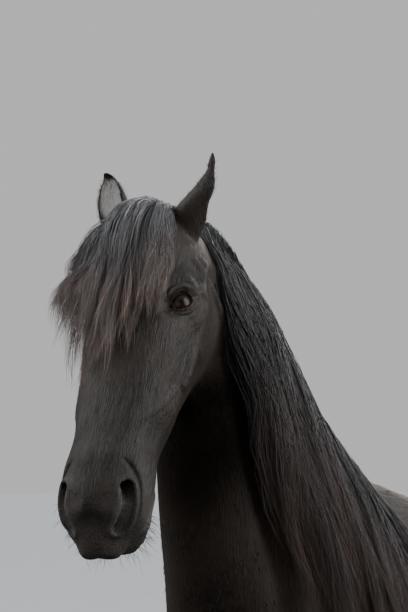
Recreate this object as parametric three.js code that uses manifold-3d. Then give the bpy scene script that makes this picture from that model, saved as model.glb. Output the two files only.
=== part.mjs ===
// A life-size Friesian horse, standing square with its head turned a little to its left.
// Millimetres, +Z up. +X runs to the horse's front and +Y to its left side.
// The body is lofted through stations that name two points of the side view and the widths between them.
import * as THREE from "three";
import { mergeVertices } from "three/addons/utils/BufferGeometryUtils.js";
import Module from "manifold-3d";

const wasm = await Module();
wasm.setup();

// ---------------------------------------------------------------- driving sizes
const GAP = 0.5; // what two touching nodes keep between them
const POLL = { x: 705, z: 2092 }; // the head's own origin, between the ears
const FACE_TILT = THREE.MathUtils.degToRad(31); // the face line, from the vertical
const HEAD_TURN = THREE.MathUtils.degToRad(16); // at the poll, to the left
const HEAD_ROLL = THREE.MathUtils.degToRad(2);
const NECK_BEND = { from: 60, to: 600, turn: THREE.MathUtils.degToRad(12) };
const EYE = { along: 190, deep: -51, side: 68, radius: 24 };
const HOOF_TOP = 96;
const KNEE_CUT = 540; // where the forearm meets the shank
const HOCK_CUT = 700; // where the thigh meets the hind shank

const COLOURS = {
  coat: { color: 0x1b1918, roughness: 0.62, metalness: 0 },
  hair: { color: 0x151416, roughness: 0.5, metalness: 0 },
  muzzle: { color: 0x2a292b, roughness: 0.7, metalness: 0 },
  eye: { color: 0x0b0706, roughness: 0.06, metalness: 0 },
  hoof: { color: 0x2b2725, roughness: 0.45, metalness: 0 },
};

// ---------------------------------------------------------------- small tools
const lerp = THREE.MathUtils.lerp;
const X = new THREE.Vector3(1, 0, 0);
const Z = new THREE.Vector3(0, 0, 1);
const vec = (x, y, z) => new THREE.Vector3(x, y, z);

/** A smooth value at t, from 0 to 1, through rows of numbers. */
function along(rows, t) {
  const last = rows.length - 1;
  const at = Math.min(Math.max(t, 0), 1) * last;
  const i = Math.min(Math.floor(at), last - 1);
  const f = at - i;
  const row = (k) => rows[Math.min(Math.max(k, 0), last)];
  return row(i).map((_, c) => {
    const [a, b, d, e] = [row(i - 1)[c], row(i)[c], row(i + 1)[c], row(i + 2)[c]];
    const m0 = (d - a) / 2;
    const m1 = (e - b) / 2;
    return (
      (2 * f ** 3 - 3 * f ** 2 + 1) * b +
      (f ** 3 - 2 * f ** 2 + f) * m0 +
      (3 * f ** 2 - 2 * f ** 3) * d +
      (f ** 3 - f ** 2) * m1
    );
  });
}

/** A closed skin over rings of points, each ring in the same order, with flat ends, or a point at its far end. */
function skinOver(rings, tip) {
  const n = rings[0].length;
  const points = rings.flat();
  const faces = [];
  for (let r = 0; r < rings.length - 1; r++) {
    for (let j = 0; j < n; j++) {
      const k = (j + 1) % n;
      const [a, b, c, d] = [r * n + j, r * n + k, (r + 1) * n + j, (r + 1) * n + k];
      faces.push(a, b, d, a, d, c);
    }
  }
  [0, rings.length - 1].forEach((r) => {
    points.push(r > 0 && tip ? tip : middleOf(rings[r]));
    for (let j = 0; j < n; j++) {
      const [a, b] = [r * n + j, r * n + ((j + 1) % n)];
      faces.push(...(r === 0 ? [b, a, points.length - 1] : [a, b, points.length - 1]));
    }
  });
  return meshOf(points, faces);
}

const middleOf = (ring) => ring.reduce((sum, p) => sum.add(p), vec(0, 0, 0)).divideScalar(ring.length);

/** A BufferGeometry of points and faces, turned so that its faces point out. */
function meshOf(points, faces) {
  const geometry = new THREE.BufferGeometry().setFromPoints(points);
  let volume = 0;
  for (let i = 0; i < faces.length; i += 3) {
    const [a, b, c] = [points[faces[i]], points[faces[i + 1]], points[faces[i + 2]]];
    volume += a.dot(vec(0, 0, 0).crossVectors(b, c));
  }
  if (volume < 0) {
    for (let i = 0; i < faces.length; i += 3) {
      [faces[i + 1], faces[i + 2]] = [faces[i + 2], faces[i + 1]];
    }
  }
  return geometry.setIndex(faces);
}

/** A closed geometry as a solid that can be joined and cut. */
function solid(geometry) {
  const plain = geometry.clone();
  plain.deleteAttribute("normal");
  plain.deleteAttribute("uv");
  const merged = mergeVertices(plain, 1e-3);
  return new wasm.Manifold(
    new wasm.Mesh({
      numProp: 3,
      vertProperties: new Float32Array(merged.attributes.position.array),
      triVerts: new Uint32Array(merged.index.array),
    }),
  );
}

/** The largest closed surface of a solid, as a geometry. */
function shape(made) {
  const parts = made.decompose().sort((a, b) => b.volume() - a.volume());
  const mesh = parts[0].getMesh();
  const points = [];
  for (let i = 0; i < mesh.numVert; i++) {
    const [x, y, z] = mesh.vertProperties.subarray(i * mesh.numProp, i * mesh.numProp + 3);
    points.push(vec(x, y, z));
  }
  return new THREE.BufferGeometry().setFromPoints(points).setIndex([...mesh.triVerts]);
}

/** A big block on the far side of a plane through point, facing way: what it cuts away is beyond the plane. */
function beyond(point, way) {
  const size = 4000;
  const block = new THREE.BoxGeometry(size, size, size);
  const turn = new THREE.Quaternion().setFromUnitVectors(Z, way.clone().normalize());
  block.translate(0, 0, size / 2).applyQuaternion(turn).translate(point.x, point.y, point.z);
  return solid(block);
}

// ---------------------------------------------------------------- lofting by side view
/**
 * rows: [front or top x, z, back or bottom x, z, upper, middle and lower half width, squareness, sideways shift].
 * place turns a point of the part's own flat side view into the horse's space.
 */
function loft(rows, { around, rings, grow = 0, place = (p) => p, swell = (p) => p }) {
  const made = [];
  for (let r = 0; r < rings; r++) {
    const [ax, az, bx, bz, upper, middle, lower, square, shift] = along(rows, r / (rings - 1));
    const ring = [];
    for (let j = 0; j < around; j++) {
      const angle = (2 * Math.PI * j) / around;
      const c = Math.sign(Math.cos(angle)) * Math.abs(Math.cos(angle)) ** square;
      const s = Math.sign(Math.sin(angle)) * Math.abs(Math.sin(angle)) ** square;
      const q = (1 - c) / 2;
      const width = upper * (1 - q) ** 2 + middle * 2 * q * (1 - q) + lower * q ** 2;
      const reach = 1 + (2 * grow) / Math.hypot(ax - bx, az - bz);
      const far = 0.5 + (q - 0.5) * reach;
      const point = vec(lerp(ax, bx, far), shift + s * (width + grow), lerp(az, bz, far));
      ring.push(place(swell(point)));
    }
    made.push(ring);
  }
  if (grow) {
    lengthen(made[0], made[1], grow);
    lengthen(made.at(-1), made.at(-2), grow);
  }
  return skinOver(made);
}

/** Moves an end ring away from the ring next to it. */
function lengthen(end, next, by) {
  const way = middleOf(end).sub(middleOf(next)).normalize();
  end.forEach((p) => p.addScaledVector(way, by));
}

/** Pushes points outwards from a part's middle plane, or along push, near each named muscle or hollow. */
function swelling(muscles) {
  return (p) => {
    const moved = p.clone();
    muscles.forEach(([x, y, z, rx, ry, rz, dx, dy, dz]) => {
      const sides = y === 0 ? [1] : [1, -1];
      sides.forEach((side) => {
        const d = ((p.x - x) / rx) ** 2 + ((p.y - side * y) / ry) ** 2 + ((p.z - z) / rz) ** 2;
        const w = Math.exp(-d);
        moved.add(vec(dx * w, dy * side * w, dz * w));
      });
    });
    return moved;
  };
}

/** Bends the neck and what it carries to the horse's left. */
function bend(p) {
  const { from, to, turn } = NECK_BEND;
  if (p.x <= from) return p;
  const radius = (to - from) / turn;
  const angle = Math.min((p.x - from) / (to - from), 1) * turn;
  const past = Math.max(p.x - to, 0);
  return vec(
    from + (radius - p.y) * Math.sin(angle) + past * Math.cos(angle),
    radius - (radius - p.y) * Math.cos(angle) + past * Math.sin(angle),
    p.z,
  );
}

// ---------------------------------------------------------------- locks of long hair
/** A repeatable random number from 0 to 1. */
function seeded(seed) {
  let s = seed;
  return () => {
    s = (s * 1664525 + 1013904223) % 4294967296;
    return s / 4294967296;
  };
}

/** How wide a lock is along its length, from root, at 0, to tip, at 1, as a share of its widest. */
function taper(share, root) {
  const rise = THREE.MathUtils.smoothstep(share, 0, 0.3);
  return lerp(root, 1, rise) * (1 - 0.75 * Math.max((share - 0.3) / 0.7, 0) ** 1.6);
}

/**
 * A flat lock of hair. Its points run from the sunk root to the tip, faces holds the way that its flat side looks
 * at each, and wide and thick are half its sizes. rooted is its width at the root, as a share of its widest.
 * place turns a point into the horse's space.
 */
function lock(points, faces, { wide, thick, rooted = 0.5, place = (p) => p }) {
  const last = points.length - 1;
  const rings = points.slice(0, last).map((point, i) => {
    const way = points[i + 1].clone().sub(points[Math.max(i - 1, 0)]).normalize();
    const across = way.clone().cross(faces[i]).normalize();
    const out = across.clone().cross(way).normalize();
    const w = wide * taper(i / last, rooted);
    const t = thick * (1 - (0.6 * i) / last);
    const corners = [
      [w, 0],
      [0, t],
      [-w, 0],
      [0, -t],
    ];
    return corners.map(([a, b]) => place(point.clone().addScaledVector(across, a).addScaledVector(out, b)));
  });
  return solid(skinOver(rings, place(points[last])));
}

// ---------------------------------------------------------------- trunk and neck
const TRUNK = [
  // top x, z, bottom x, z, upper, middle, lower, square, shift
  [-1168, 1395, -1172, 1290, 26, 60, 50, 1, 0],
  [-1146, 1450, -1158, 1215, 80, 175, 150, 0.95, 0],
  [-1084, 1508, -1108, 1130, 130, 265, 215, 0.9, 0],
  [-970, 1558, -998, 1035, 190, 326, 262, 0.88, 0],
  [-836, 1588, -846, 965, 205, 328, 256, 0.88, 0],
  [-703, 1580, -694, 935, 188, 318, 252, 0.9, 0],
  [-551, 1552, -532, 900, 176, 336, 276, 0.92, 0],
  [-400, 1534, -380, 874, 170, 352, 290, 0.93, 0],
  [-250, 1538, -230, 858, 155, 346, 276, 0.93, 0],
  [-110, 1572, -80, 850, 108, 322, 244, 0.93, 0],
  [0, 1604, 90, 862, 72, 298, 212, 0.93, 0],
  [62, 1622, 240, 905, 64, 298, 208, 0.92, 0],
  [120, 1660, 370, 985, 62, 280, 210, 0.9, 0],
  [172, 1708, 472, 1100, 60, 244, 200, 0.92, 0],
  [215, 1752, 529, 1235, 52, 198, 166, 0.95, 0],
  [252, 1800, 571, 1378, 44, 162, 138, 1, 0],
  [296, 1860, 601, 1500, 38, 140, 120, 1, 0],
  [352, 1930, 618, 1610, 34, 124, 106, 1, 0],
  [432, 1992, 622, 1710, 32, 112, 94, 1, 0],
  [525, 2042, 618, 1800, 34, 100, 84, 1, 0],
  [612, 2064, 638, 1880, 40, 82, 68, 1, 0],
  [668, 2054, 662, 1930, 34, 50, 44, 1, 0],
];
const TRUNK_SWELLS = swelling([
  // at x, y, z, radii, push
  [395, 205, 1130, 85, 90, 90, 16, 24, 0], // point of the shoulder
  [230, 230, 1250, 120, 120, 150, 0, 14, 0], // shoulder
  [60, 210, 1430, 60, 120, 150, 0, 12, 0], // shoulder blade's ridge
  [140, 200, 1020, 110, 110, 90, -6, 20, 0], // upper arm
  [-60, 240, 1120, 60, 120, 160, 0, -12, 0], // hollow behind the elbow
  [430, 70, 1060, 80, 70, 80, 22, 10, -10], // breast
  [-950, 230, 1250, 150, 130, 150, 0, 12, 0], // thigh
  [-1130, 110, 1280, 60, 80, 120, -20, 4, 0], // buttock
  [-750, 210, 1475, 50, 90, 70, 0, 16, 8], // point of the hip
  [-655, 230, 1400, 70, 100, 80, 0, -14, 0], // flank hollow
  [-815, 210, 985, 90, 110, 70, 22, 12, 0], // stifle
  [-950, 0, 1590, 160, 30, 60, 0, 0, -10], // furrow of the croup
]);
const TRUNK_SHAPE = { around: 26, rings: 35, place: bend, swell: TRUNK_SWELLS };
const trunk = solid(loft(TRUNK, TRUNK_SHAPE));
const trunkGrown = solid(loft(TRUNK, { ...TRUNK_SHAPE, grow: GAP }));

// ---------------------------------------------------------------- head
// In the head's own side view x runs from the poll to the lips and z from the face line up.
const HEAD = [
  [-22, -40, -10, -110, 22, 34, 26, 1, 0],
  [4, -12, 4, -168, 46, 66, 50, 0.95, 0],
  [40, 8, 34, -214, 70, 84, 62, 0.9, 0],
  [95, 16, 78, -250, 88, 100, 66, 0.88, 0],
  [155, 17, 130, -268, 98, 110, 68, 0.94, 0],
  [215, 10, 196, -262, 106, 113, 62, 0.94, 0],
  [280, 3, 264, -234, 98, 105, 52, 0.9, 0],
  [340, -2, 326, -200, 84, 98, 48, 0.85, 0],
  [400, -4, 388, -172, 79, 90, 47, 0.86, 0],
  [455, -5, 446, -156, 72, 77, 45, 0.88, 0],
  [505, -5, 498, -152, 70, 87, 52, 0.88, 0],
  [548, -9, 544, -162, 65, 84, 44, 0.9, 0],
  [584, -18, 578, -166, 51, 75, 47, 0.9, 0],
  [603, -38, 594, -148, 37, 54, 40, 0.9, 0],
  [637, -64, 616, -118, 23, 29, 28, 1, 0],
];
const HEAD_SWELLS = swelling([
  [160, 88, -34, 26, 30, 26, 0, 8, 6], // brow
  [170, 100, -84, 44, 40, 26, 0, 9, 0], // bone behind the eye
  [128, 66, -6, 22, 26, 24, 0, -4, -8], // hollow above the brow
  [300, 92, -92, 60, 30, 13, 0, 7, 0], // facial crest
  [170, 80, -185, 70, 40, 60, 0, 7, 0], // cheek
  [430, 60, -60, 50, 30, 26, 0, -3, 0], // slope of the nose
  [560, 64, -56, 34, 30, 36, 3, 3, 3], // nostril's swell
  [560, 30, -162, 26, 36, 14, 0, 5, -9], // chin
  [496, 66, -116, 24, 26, 20, 0, -6, 0], // corner of the mouth
  [606, 0, -60, 18, 40, 24, 6, 0, 0], // upper lip
]);

const faceDown = vec(Math.sin(FACE_TILT), 0, -Math.cos(FACE_TILT));
const faceUp = vec(Math.cos(FACE_TILT), 0, Math.sin(FACE_TILT));
const headTurn = new THREE.Quaternion()
  .setFromAxisAngle(Z, HEAD_TURN)
  .multiply(new THREE.Quaternion().setFromAxisAngle(X, HEAD_ROLL));

/** A point of the head's own frame, along the face, to the left and up from it, in the horse's space. */
function onHead(p) {
  const local = faceDown.clone().multiplyScalar(p.x).addScaledVector(faceUp, p.z);
  local.y = p.y;
  return bend(local.applyQuaternion(headTurn).add(vec(POLL.x, 0, POLL.z)));
}

const HEAD_SHAPE = { around: 24, rings: 25, place: onHead, swell: HEAD_SWELLS };
const headGrown = solid(loft(HEAD, { ...HEAD_SHAPE, grow: GAP }));

// The head in its own frame, for what is laid on it or cut along it.
const seen = new THREE.MeshBasicMaterial({ side: THREE.DoubleSide });
const flat = { place: (p) => p };
const flatFace = new THREE.Mesh(loft(HEAD, { ...HEAD_SHAPE, ...flat }), seen);
const finder = new THREE.Raycaster();

/** Moves every point of a geometry. */
function placed(geometry, place) {
  const at = geometry.attributes.position;
  const p = vec(0, 0, 0);
  for (let i = 0; i < at.count; i++) {
    p.fromBufferAttribute(at, i);
    const moved = place(p);
    at.setXYZ(i, moved.x, moved.y, moved.z);
  }
  return geometry;
}

/** How far left the head reaches, in its own frame, or the eye where that stands further out. */
function onCheek(x, z) {
  finder.set(vec(x, 300, z), vec(0, -1, 0));
  const flesh = finder.intersectObject(flatFace)[0].point.y;
  const inside = EYE.radius ** 2 - (x - EYE.along) ** 2 - (z - EYE.deep) ** 2;
  return inside > 0 ? Math.max(flesh, EYE.side + Math.sqrt(inside)) : flesh;
}

// The lids are two curved rolls that meet at the corners, the front corner lower on the face than the rear one.
const LIDS = { reach: 26, upper: 15, lower: -12, tilt: -0.25, thick: 5, steps: 7 };

function lid(side, upper) {
  const rings = Array.from({ length: LIDS.steps }, (_, i) => {
    const angle = (Math.PI * i) / (LIDS.steps - 1);
    const x = EYE.along - LIDS.reach * Math.cos(angle);
    const lift = (upper ? LIDS.upper : LIDS.lower) * Math.sin(angle);
    const z = EYE.deep + lift + LIDS.tilt * (EYE.along - x);
    const thick = LIDS.thick * (0.5 + (upper ? 0.6 : 0.4) * Math.sin(angle));
    return Array.from({ length: 5 }, (_corner, j) => {
      const a = (2 * Math.PI * j) / 5;
      return onHead(vec(x, side * (onCheek(x, z) + Math.cos(a) * thick), z + Math.sin(a) * thick));
    });
  });
  return solid(skinOver(rings));
}

// The mouth's line runs round the muzzle, from one corner to the other, as seen from a point inside it.
const MOUTH = { along: 524, deep: -98, corner: THREE.MathUtils.degToRad(104), drop: 14, cut: 12, open: 2.4 };

function mouthSlit() {
  const rings = [];
  const steps = 11;
  for (let i = 0; i < steps; i++) {
    const angle = lerp(-MOUTH.corner, MOUTH.corner, i / (steps - 1));
    const way = vec(Math.cos(angle), Math.sin(angle), 0);
    const centre = vec(MOUTH.along, 0, MOUTH.deep - MOUTH.drop * Math.abs(angle / MOUTH.corner) ** 1.5);
    finder.set(centre.clone().addScaledVector(way, 300), way.clone().negate());
    const lips = finder.intersectObject(flatFace)[0].point;
    const corners = [
      [6, MOUTH.open],
      [6, -MOUTH.open],
      [-MOUTH.cut, -0.4],
      [-MOUTH.cut, 0.4],
    ];
    rings.push(corners.map(([far, up]) => onHead(lips.clone().addScaledVector(way, far).add(vec(0, 0, up)))));
  }
  return solid(skinOver(rings));
}

/** A round bar along points, each [x, y, z, radius], mirrored to one side of the head. */
function headBar(rows, side, sides = 5) {
  const points = rows.map(([x, y, z]) => vec(x, side * y, z));
  const rings = rows.map(([, , , radius], i) => {
    const before = points[Math.max(i - 1, 0)];
    const after = points[Math.min(i + 1, points.length - 1)];
    const way = after.clone().sub(before).normalize();
    const across = vec(0, side, 0).cross(way).normalize();
    const out = way.clone().cross(across).normalize();
    return Array.from({ length: sides }, (_, j) => {
      const a = (2 * Math.PI * j) / sides;
      const at = points[i].clone().addScaledVector(across, radius * Math.cos(a));
      return onHead(at.addScaledVector(out, radius * Math.sin(a)));
    });
  });
  return solid(skinOver(rings));
}

// The nostril is a slanting comma: its rim is a raised bar round the outside, and its hole a groove inside that.
const NOSTRIL_RIM = [
  [526, 50, -26, 5],
  [540, 60, -36, 6],
  [560, 63, -46, 7],
  [580, 58, -57, 7],
  [597, 47, -68, 6],
  [606, 33, -66, 5],
];
const NOSTRIL_HOLE = [
  [540, 48, -25, 6],
  [556, 51, -32, 11],
  [576, 48, -42, 13],
  [596, 37, -55, 9],
];

function headNode() {
  let head = solid(loft(HEAD, HEAD_SHAPE));
  for (const side of [1, -1]) {
    head = head.add(lid(side, true)).add(lid(side, false)).add(headBar(NOSTRIL_RIM, side));
  }
  forelock().forEach((one) => {
    head = head.add(one);
  });
  for (const side of [1, -1]) {
    head = head.subtract(headBar(NOSTRIL_HOLE, side, 7)).subtract(eyeOpening(side)).subtract(eyeBall(side, GAP));
  }
  return head.subtract(mouthSlit());
}

/** The almond between the lids. */
function eyeOpening(side) {
  const almond = new THREE.SphereGeometry(1, 10, 4);
  almond.scale(23, 22, 13).translate(EYE.along, side * (EYE.side + 20), EYE.deep);
  return solid(placed(almond, onHead));
}

/** The eye, grown by a gap where it is cut from the head. */
function eyeBall(side, grow = 0) {
  const ball = new THREE.SphereGeometry(EYE.radius + grow, 12, 6);
  ball.translate(EYE.along, side * EYE.side, EYE.deep);
  return solid(placed(ball, onHead));
}

// ---------------------------------------------------------------- ears
const EAR_AHEAD = vec(0.515, 0, 0.857); // level and forward, in the head's own frame
// The left ear is turned out and back, the right one pricked forward: base and way up to the tip, how far round the
// cup faces from straight ahead, and rows of share of length, half width, half depth, half opening in degrees, wall
// and bow outwards.
const EARS = {
  left: {
    base: [22, 60, -52],
    up: [-106, 50, 69],
    faces: THREE.MathUtils.degToRad(118),
    rows: [
      [-0.22, 27, 27, 8, 9, 0],
      [0.0, 31, 32, 30, 9, 0],
      [0.25, 33, 36, 56, 7.5, 0],
      [0.5, 26, 27, 63, 6, 10],
      [0.75, 12, 10.5, 62, 4.5, 9],
      [0.9, 8, 7.4, 57, 4, 2.5],
      [1.0, 4, 4, 50, 3, 0],
    ],
  },
  right: {
    base: [22, 62, -52],
    up: [-111, 38, 43],
    faces: THREE.MathUtils.degToRad(8),
    rows: [
      [-0.22, 26, 26, 8, 9, 0],
      [0.0, 31, 29, 20, 9, 0],
      [0.25, 33, 29, 44, 7.5, 1],
      [0.5, 30, 24, 58, 6, 0],
      [0.75, 22, 18, 66, 5, -4],
      [0.9, 12.5, 11.5, 69, 4.3, -5.5],
      [1.0, 4.5, 4.5, 70, 3, -1],
    ],
  },
};

function ear(side, grow = 0) {
  const rings = [];
  const arc = 7;
  const shape = side > 0 ? EARS.left : EARS.right;
  const mirrored = ([x, y, z]) => vec(x, side * y, z);
  const up = mirrored(shape.up);
  const base = mirrored(shape.base);
  shape.rows.forEach(([share, wide, deep, half, wall, bow]) => {
    const middle = base.clone().addScaledVector(up, share).add(vec(0, side * bow, 0));
    const at = (a, w, d) => {
      const [u, v] = [Math.cos(a) * d, Math.sin(a) * w];
      const [c, n] = [Math.cos(shape.faces), Math.sin(shape.faces)];
      const p = middle.clone().addScaledVector(EAR_AHEAD, u * c - v * n);
      return onHead(p.add(vec(0, side * (u * n + v * c), 0)));
    };
    const outer = [];
    const inner = [];
    for (let j = 0; j < arc; j++) {
      const opening = THREE.MathUtils.degToRad(half);
      const a = lerp(opening, 2 * Math.PI - opening, j / (arc - 1));
      outer.push(at(a, wide + grow, deep + grow));
      inner.push(at(a, Math.max(wide - wall, 0.8), Math.max(deep - wall, 0.8)));
    }
    rings.push([...outer, ...inner.reverse()]);
  });
  return solid(stripEnded(rings, arc));
}

/** A skin over C-shaped rings: the first half of each ring is its outside and the rest its inside, run back. */
function stripEnded(rings, arc) {
  const n = rings[0].length;
  const points = rings.flat();
  const faces = [];
  for (let r = 0; r < rings.length - 1; r++) {
    for (let j = 0; j < n; j++) {
      const k = (j + 1) % n;
      const [a, b, c, d] = [r * n + j, r * n + k, (r + 1) * n + j, (r + 1) * n + k];
      faces.push(a, b, d, a, d, c);
    }
  }
  [0, rings.length - 1].forEach((r) => {
    for (let j = 0; j < arc - 1; j++) {
      const [a, b, c, d] = [r * n + j, r * n + j + 1, r * n + n - 1 - j, r * n + n - 2 - j];
      faces.push(...(r === 0 ? [a, d, b, a, c, d] : [a, b, d, a, d, c]));
    }
  });
  return meshOf(points, faces);
}

// ---------------------------------------------------------------- legs
// front x, z, back x, z, half widths, squareness and the leg's distance from the middle plane
const FORELEG = [
  [300, 1290, 90, 1290, 40, 60, 40, 1, 150],
  [325, 1200, 52, 1195, 58, 84, 58, 1, 166],
  [330, 1100, 42, 1095, 62, 92, 64, 1, 170],
  [314, 1010, 52, 1005, 62, 92, 64, 1, 164],
  [286, 920, 70, 930, 60, 84, 56, 1, 154],
  [262, 840, 96, 850, 54, 70, 48, 1, 146],
  [245, 750, 114, 760, 48, 60, 44, 1, 139],
  [231, 650, 127, 660, 43, 50, 40, 1, 134],
  [223, 560, 133, 565, 41, 47, 39, 0.95, 130],
  [230, 500, 124, 500, 50, 56, 42, 0.85, 128],
  [230, 445, 116, 450, 50, 55, 40, 0.85, 126],
  [213, 395, 128, 395, 41, 43, 33, 0.9, 125],
  [204, 340, 124, 340, 33, 35, 27, 0.95, 124],
  [204, 280, 120, 280, 34, 36, 29, 0.95, 123],
  [218, 232, 106, 225, 45, 47, 37, 0.95, 122],
  [232, 185, 120, 180, 41, 43, 35, 0.95, 122],
  [258, 140, 146, 130, 43, 47, 41, 0.95, 122],
  [286, HOOF_TOP, 166, 84, 56, 64, 54, 0.95, 122],
];
const HINDLEG = [
  [-745, 1330, -1040, 1340, 60, 90, 60, 1, 150],
  [-722, 1220, -1110, 1240, 86, 128, 86, 1, 168],
  [-722, 1110, -1130, 1145, 92, 136, 92, 1, 172],
  [-738, 1020, -1118, 1060, 88, 126, 84, 1, 166],
  [-762, 940, -1094, 970, 78, 110, 74, 1, 159],
  [-808, 850, -1076, 880, 66, 90, 60, 1, 152],
  [-862, 770, -1074, 800, 55, 71, 49, 1, 146],
  [-916, 690, -1098, 725, 47, 56, 38, 1, 141],
  [-964, 620, -1150, 650, 45, 50, 32, 0.95, 138],
  [-994, 560, -1144, 585, 51, 55, 35, 0.9, 136],
  [-1013, 495, -1124, 505, 43, 47, 33, 0.9, 134],
  [-1026, 420, -1112, 425, 35, 38, 29, 0.95, 132],
  [-1030, 340, -1110, 340, 34, 36, 29, 0.95, 131],
  [-1028, 285, -1114, 280, 36, 38, 31, 0.95, 130],
  [-1013, 235, -1126, 225, 45, 48, 39, 0.95, 130],
  [-998, 188, -1110, 180, 41, 44, 36, 0.95, 130],
  [-973, 142, -1086, 130, 43, 48, 41, 0.95, 130],
  [-946, HOOF_TOP, -1066, 84, 55, 62, 54, 0.95, 130],
];
const FORE_HOOF = [
  [286, HOOF_TOP, 166, 84, 60, 68, 58, 0.95, 122],
  [308, 55, 168, 48, 66, 76, 64, 0.92, 122],
  [336, 0, 170, 0, 74, 86, 72, 0.9, 122],
];
const HIND_HOOF = [
  [-946, HOOF_TOP, -1066, 84, 59, 66, 56, 0.95, 130],
  [-927, 55, -1066, 48, 64, 74, 62, 0.92, 130],
  [-904, 0, -1064, 0, 70, 82, 68, 0.9, 130],
];
// The feather's locks leave the leg in a ring round the fetlock and hang in a wider one round the hoof's back.
const FEATHER = {
  count: 8,
  spread: THREE.MathUtils.degToRad(112), // to each side of straight back
  roots: [360, 246, 300], // heights of the rows that neighbours take in turn
  tips: [26, 100], // straight behind and at the sides
  heel: 46, // how far the hanging ring's middle is behind the hoof's
  leg: [44, 38], // the ring that they leave, backwards and sideways
  reach: [88, 78], // the ring that they hang in
  apart: 9, // between an inner lock and an outer one
  wide: 27,
  thick: 3.2,
};
const FORE_FETLOCK = { x: 162, y: 122, hoof: 253 };
const HIND_FETLOCK = { x: -1070, y: 130, hoof: -984 };

function feather(fetlock, side, stride) {
  const random = seeded(71 + fetlock.y + side);
  return Array.from({ length: FEATHER.count }, (_, i) => {
    const angle = lerp(-FEATHER.spread, FEATHER.spread, i / (FEATHER.count - 1));
    const top = FEATHER.roots[i % FEATHER.roots.length] + 16 * random();
    const tip = lerp(...FEATHER.tips, (angle / FEATHER.spread) ** 2) + 30 * random();
    const way = vec(-Math.cos(angle), Math.sin(angle), 0);
    const points = [0, 0.12, 0.45, 1].map((share, k) => {
      const z = lerp(top, tip, share);
      const x = lerp(fetlock.x, fetlock.hoof - FEATHER.heel, share) + (stride * (1000 - z)) / 1000;
      const layer = FEATHER.apart * (i % 2);
      const [back, aside] = [0, 1].map((axis) => lerp(FEATHER.leg[axis], FEATHER.reach[axis], share ** 0.8) + layer);
      const far = k === 0 ? 0.4 : 1;
      return vec(x + way.x * back * far, side * fetlock.y + way.y * aside * far, k === 0 ? z + 14 : z);
    });
    const faces = points.map((_point, k) => (k === 0 ? Z : way));
    return lock(points, faces, FEATHER);
  });
}

/** Moves one leg's stations a little forward or back, from the knee or hock down. */
function stepped(rows, side, stride) {
  return rows.map((row) => {
    const [ax, az, bx, bz, u, m, l, square, y] = row;
    const share = THREE.MathUtils.clamp((1000 - az) / 1000, 0, 1);
    return [ax + stride * share, az, bx + stride * share, bz, u, m, l, square, side * y];
  });
}

const LEG_SHAPE = { around: 12, rings: 21 };

/** The leg's upper and lower lengths and its hoof, parted at the knee or hock and at the coronet. */
function leg({ rows, hoofRows, fetlock, side, stride, partAt, names }) {
  const whole = solid(loft(stepped(rows, side, stride), LEG_SHAPE)).subtract(trunkGrown);
  const upper = whole.subtract(beyond(vec(0, 0, partAt), Z.clone().negate()));
  const flesh = whole.subtract(beyond(vec(0, 0, partAt - GAP), Z));
  const lower = feather(fetlock, side, stride).reduce((made, one) => made.add(one), flesh);
  const hoof = solid(loft(stepped(hoofRows, side, stride), { around: 16, rings: 4 }));
  return [
    [names[0], shape(upper), "coat"],
    [names[1], shape(lower.subtract(hoofSpace(hoofRows, side, stride))), "coat"],
    [names[2], shape(hoof), "hoof"],
  ];
}

/** What the hoof needs clear: its own shape, grown by the gap and carried down through the floor. */
function hoofSpace(hoofRows, side, stride) {
  const rows = stepped(hoofRows, side, stride);
  const [ax, az, bx, bz, ...rest] = rows[0];
  const raised = [ax, az + GAP, bx, bz + GAP, ...rest];
  const sole = rows[2].map((value, i) => (i === 1 || i === 3 ? -10 : value));
  return solid(loft([raised, rows[1], sole], { around: 16, rings: 4, grow: GAP }));
}

// ---------------------------------------------------------------- tail
const DOCK = [
  // along the dock: centre x, z and radius
  [-1030, 1440, 40],
  [-1100, 1446, 38],
  [-1160, 1432, 36],
  [-1204, 1390, 33],
  [-1227, 1320, 28],
  [-1235, 1240, 22],
  [-1237, 1160, 12],
];

function dock() {
  const rings = DOCK.map(([x, z, r], i) => {
    const before = DOCK[Math.max(i - 1, 0)];
    const after = DOCK[Math.min(i + 1, DOCK.length - 1)];
    const way = vec(after[0] - before[0], 0, after[1] - before[1]).normalize();
    const back = vec(way.z, 0, -way.x);
    return Array.from({ length: 10 }, (_, j) => {
      const a = (2 * Math.PI * j) / 10;
      return vec(x, 0, z).addScaledVector(back, Math.cos(a) * r).add(vec(0, Math.sin(a) * r * 1.2, 0));
    });
  });
  return solid(skinOver(rings));
}

// The tail's hair: two rings of locks that hang from the dock.
const TAIL = { x: -1254, tips: 150, wide: 25, thick: 6, front: 0.62 };
const TAIL_RINGS = [
  { count: 5, reach: 44, from: 0.6, to: 0.95 },
  { count: 12, reach: 88, from: 0.3, to: 0.62 },
];

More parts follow.
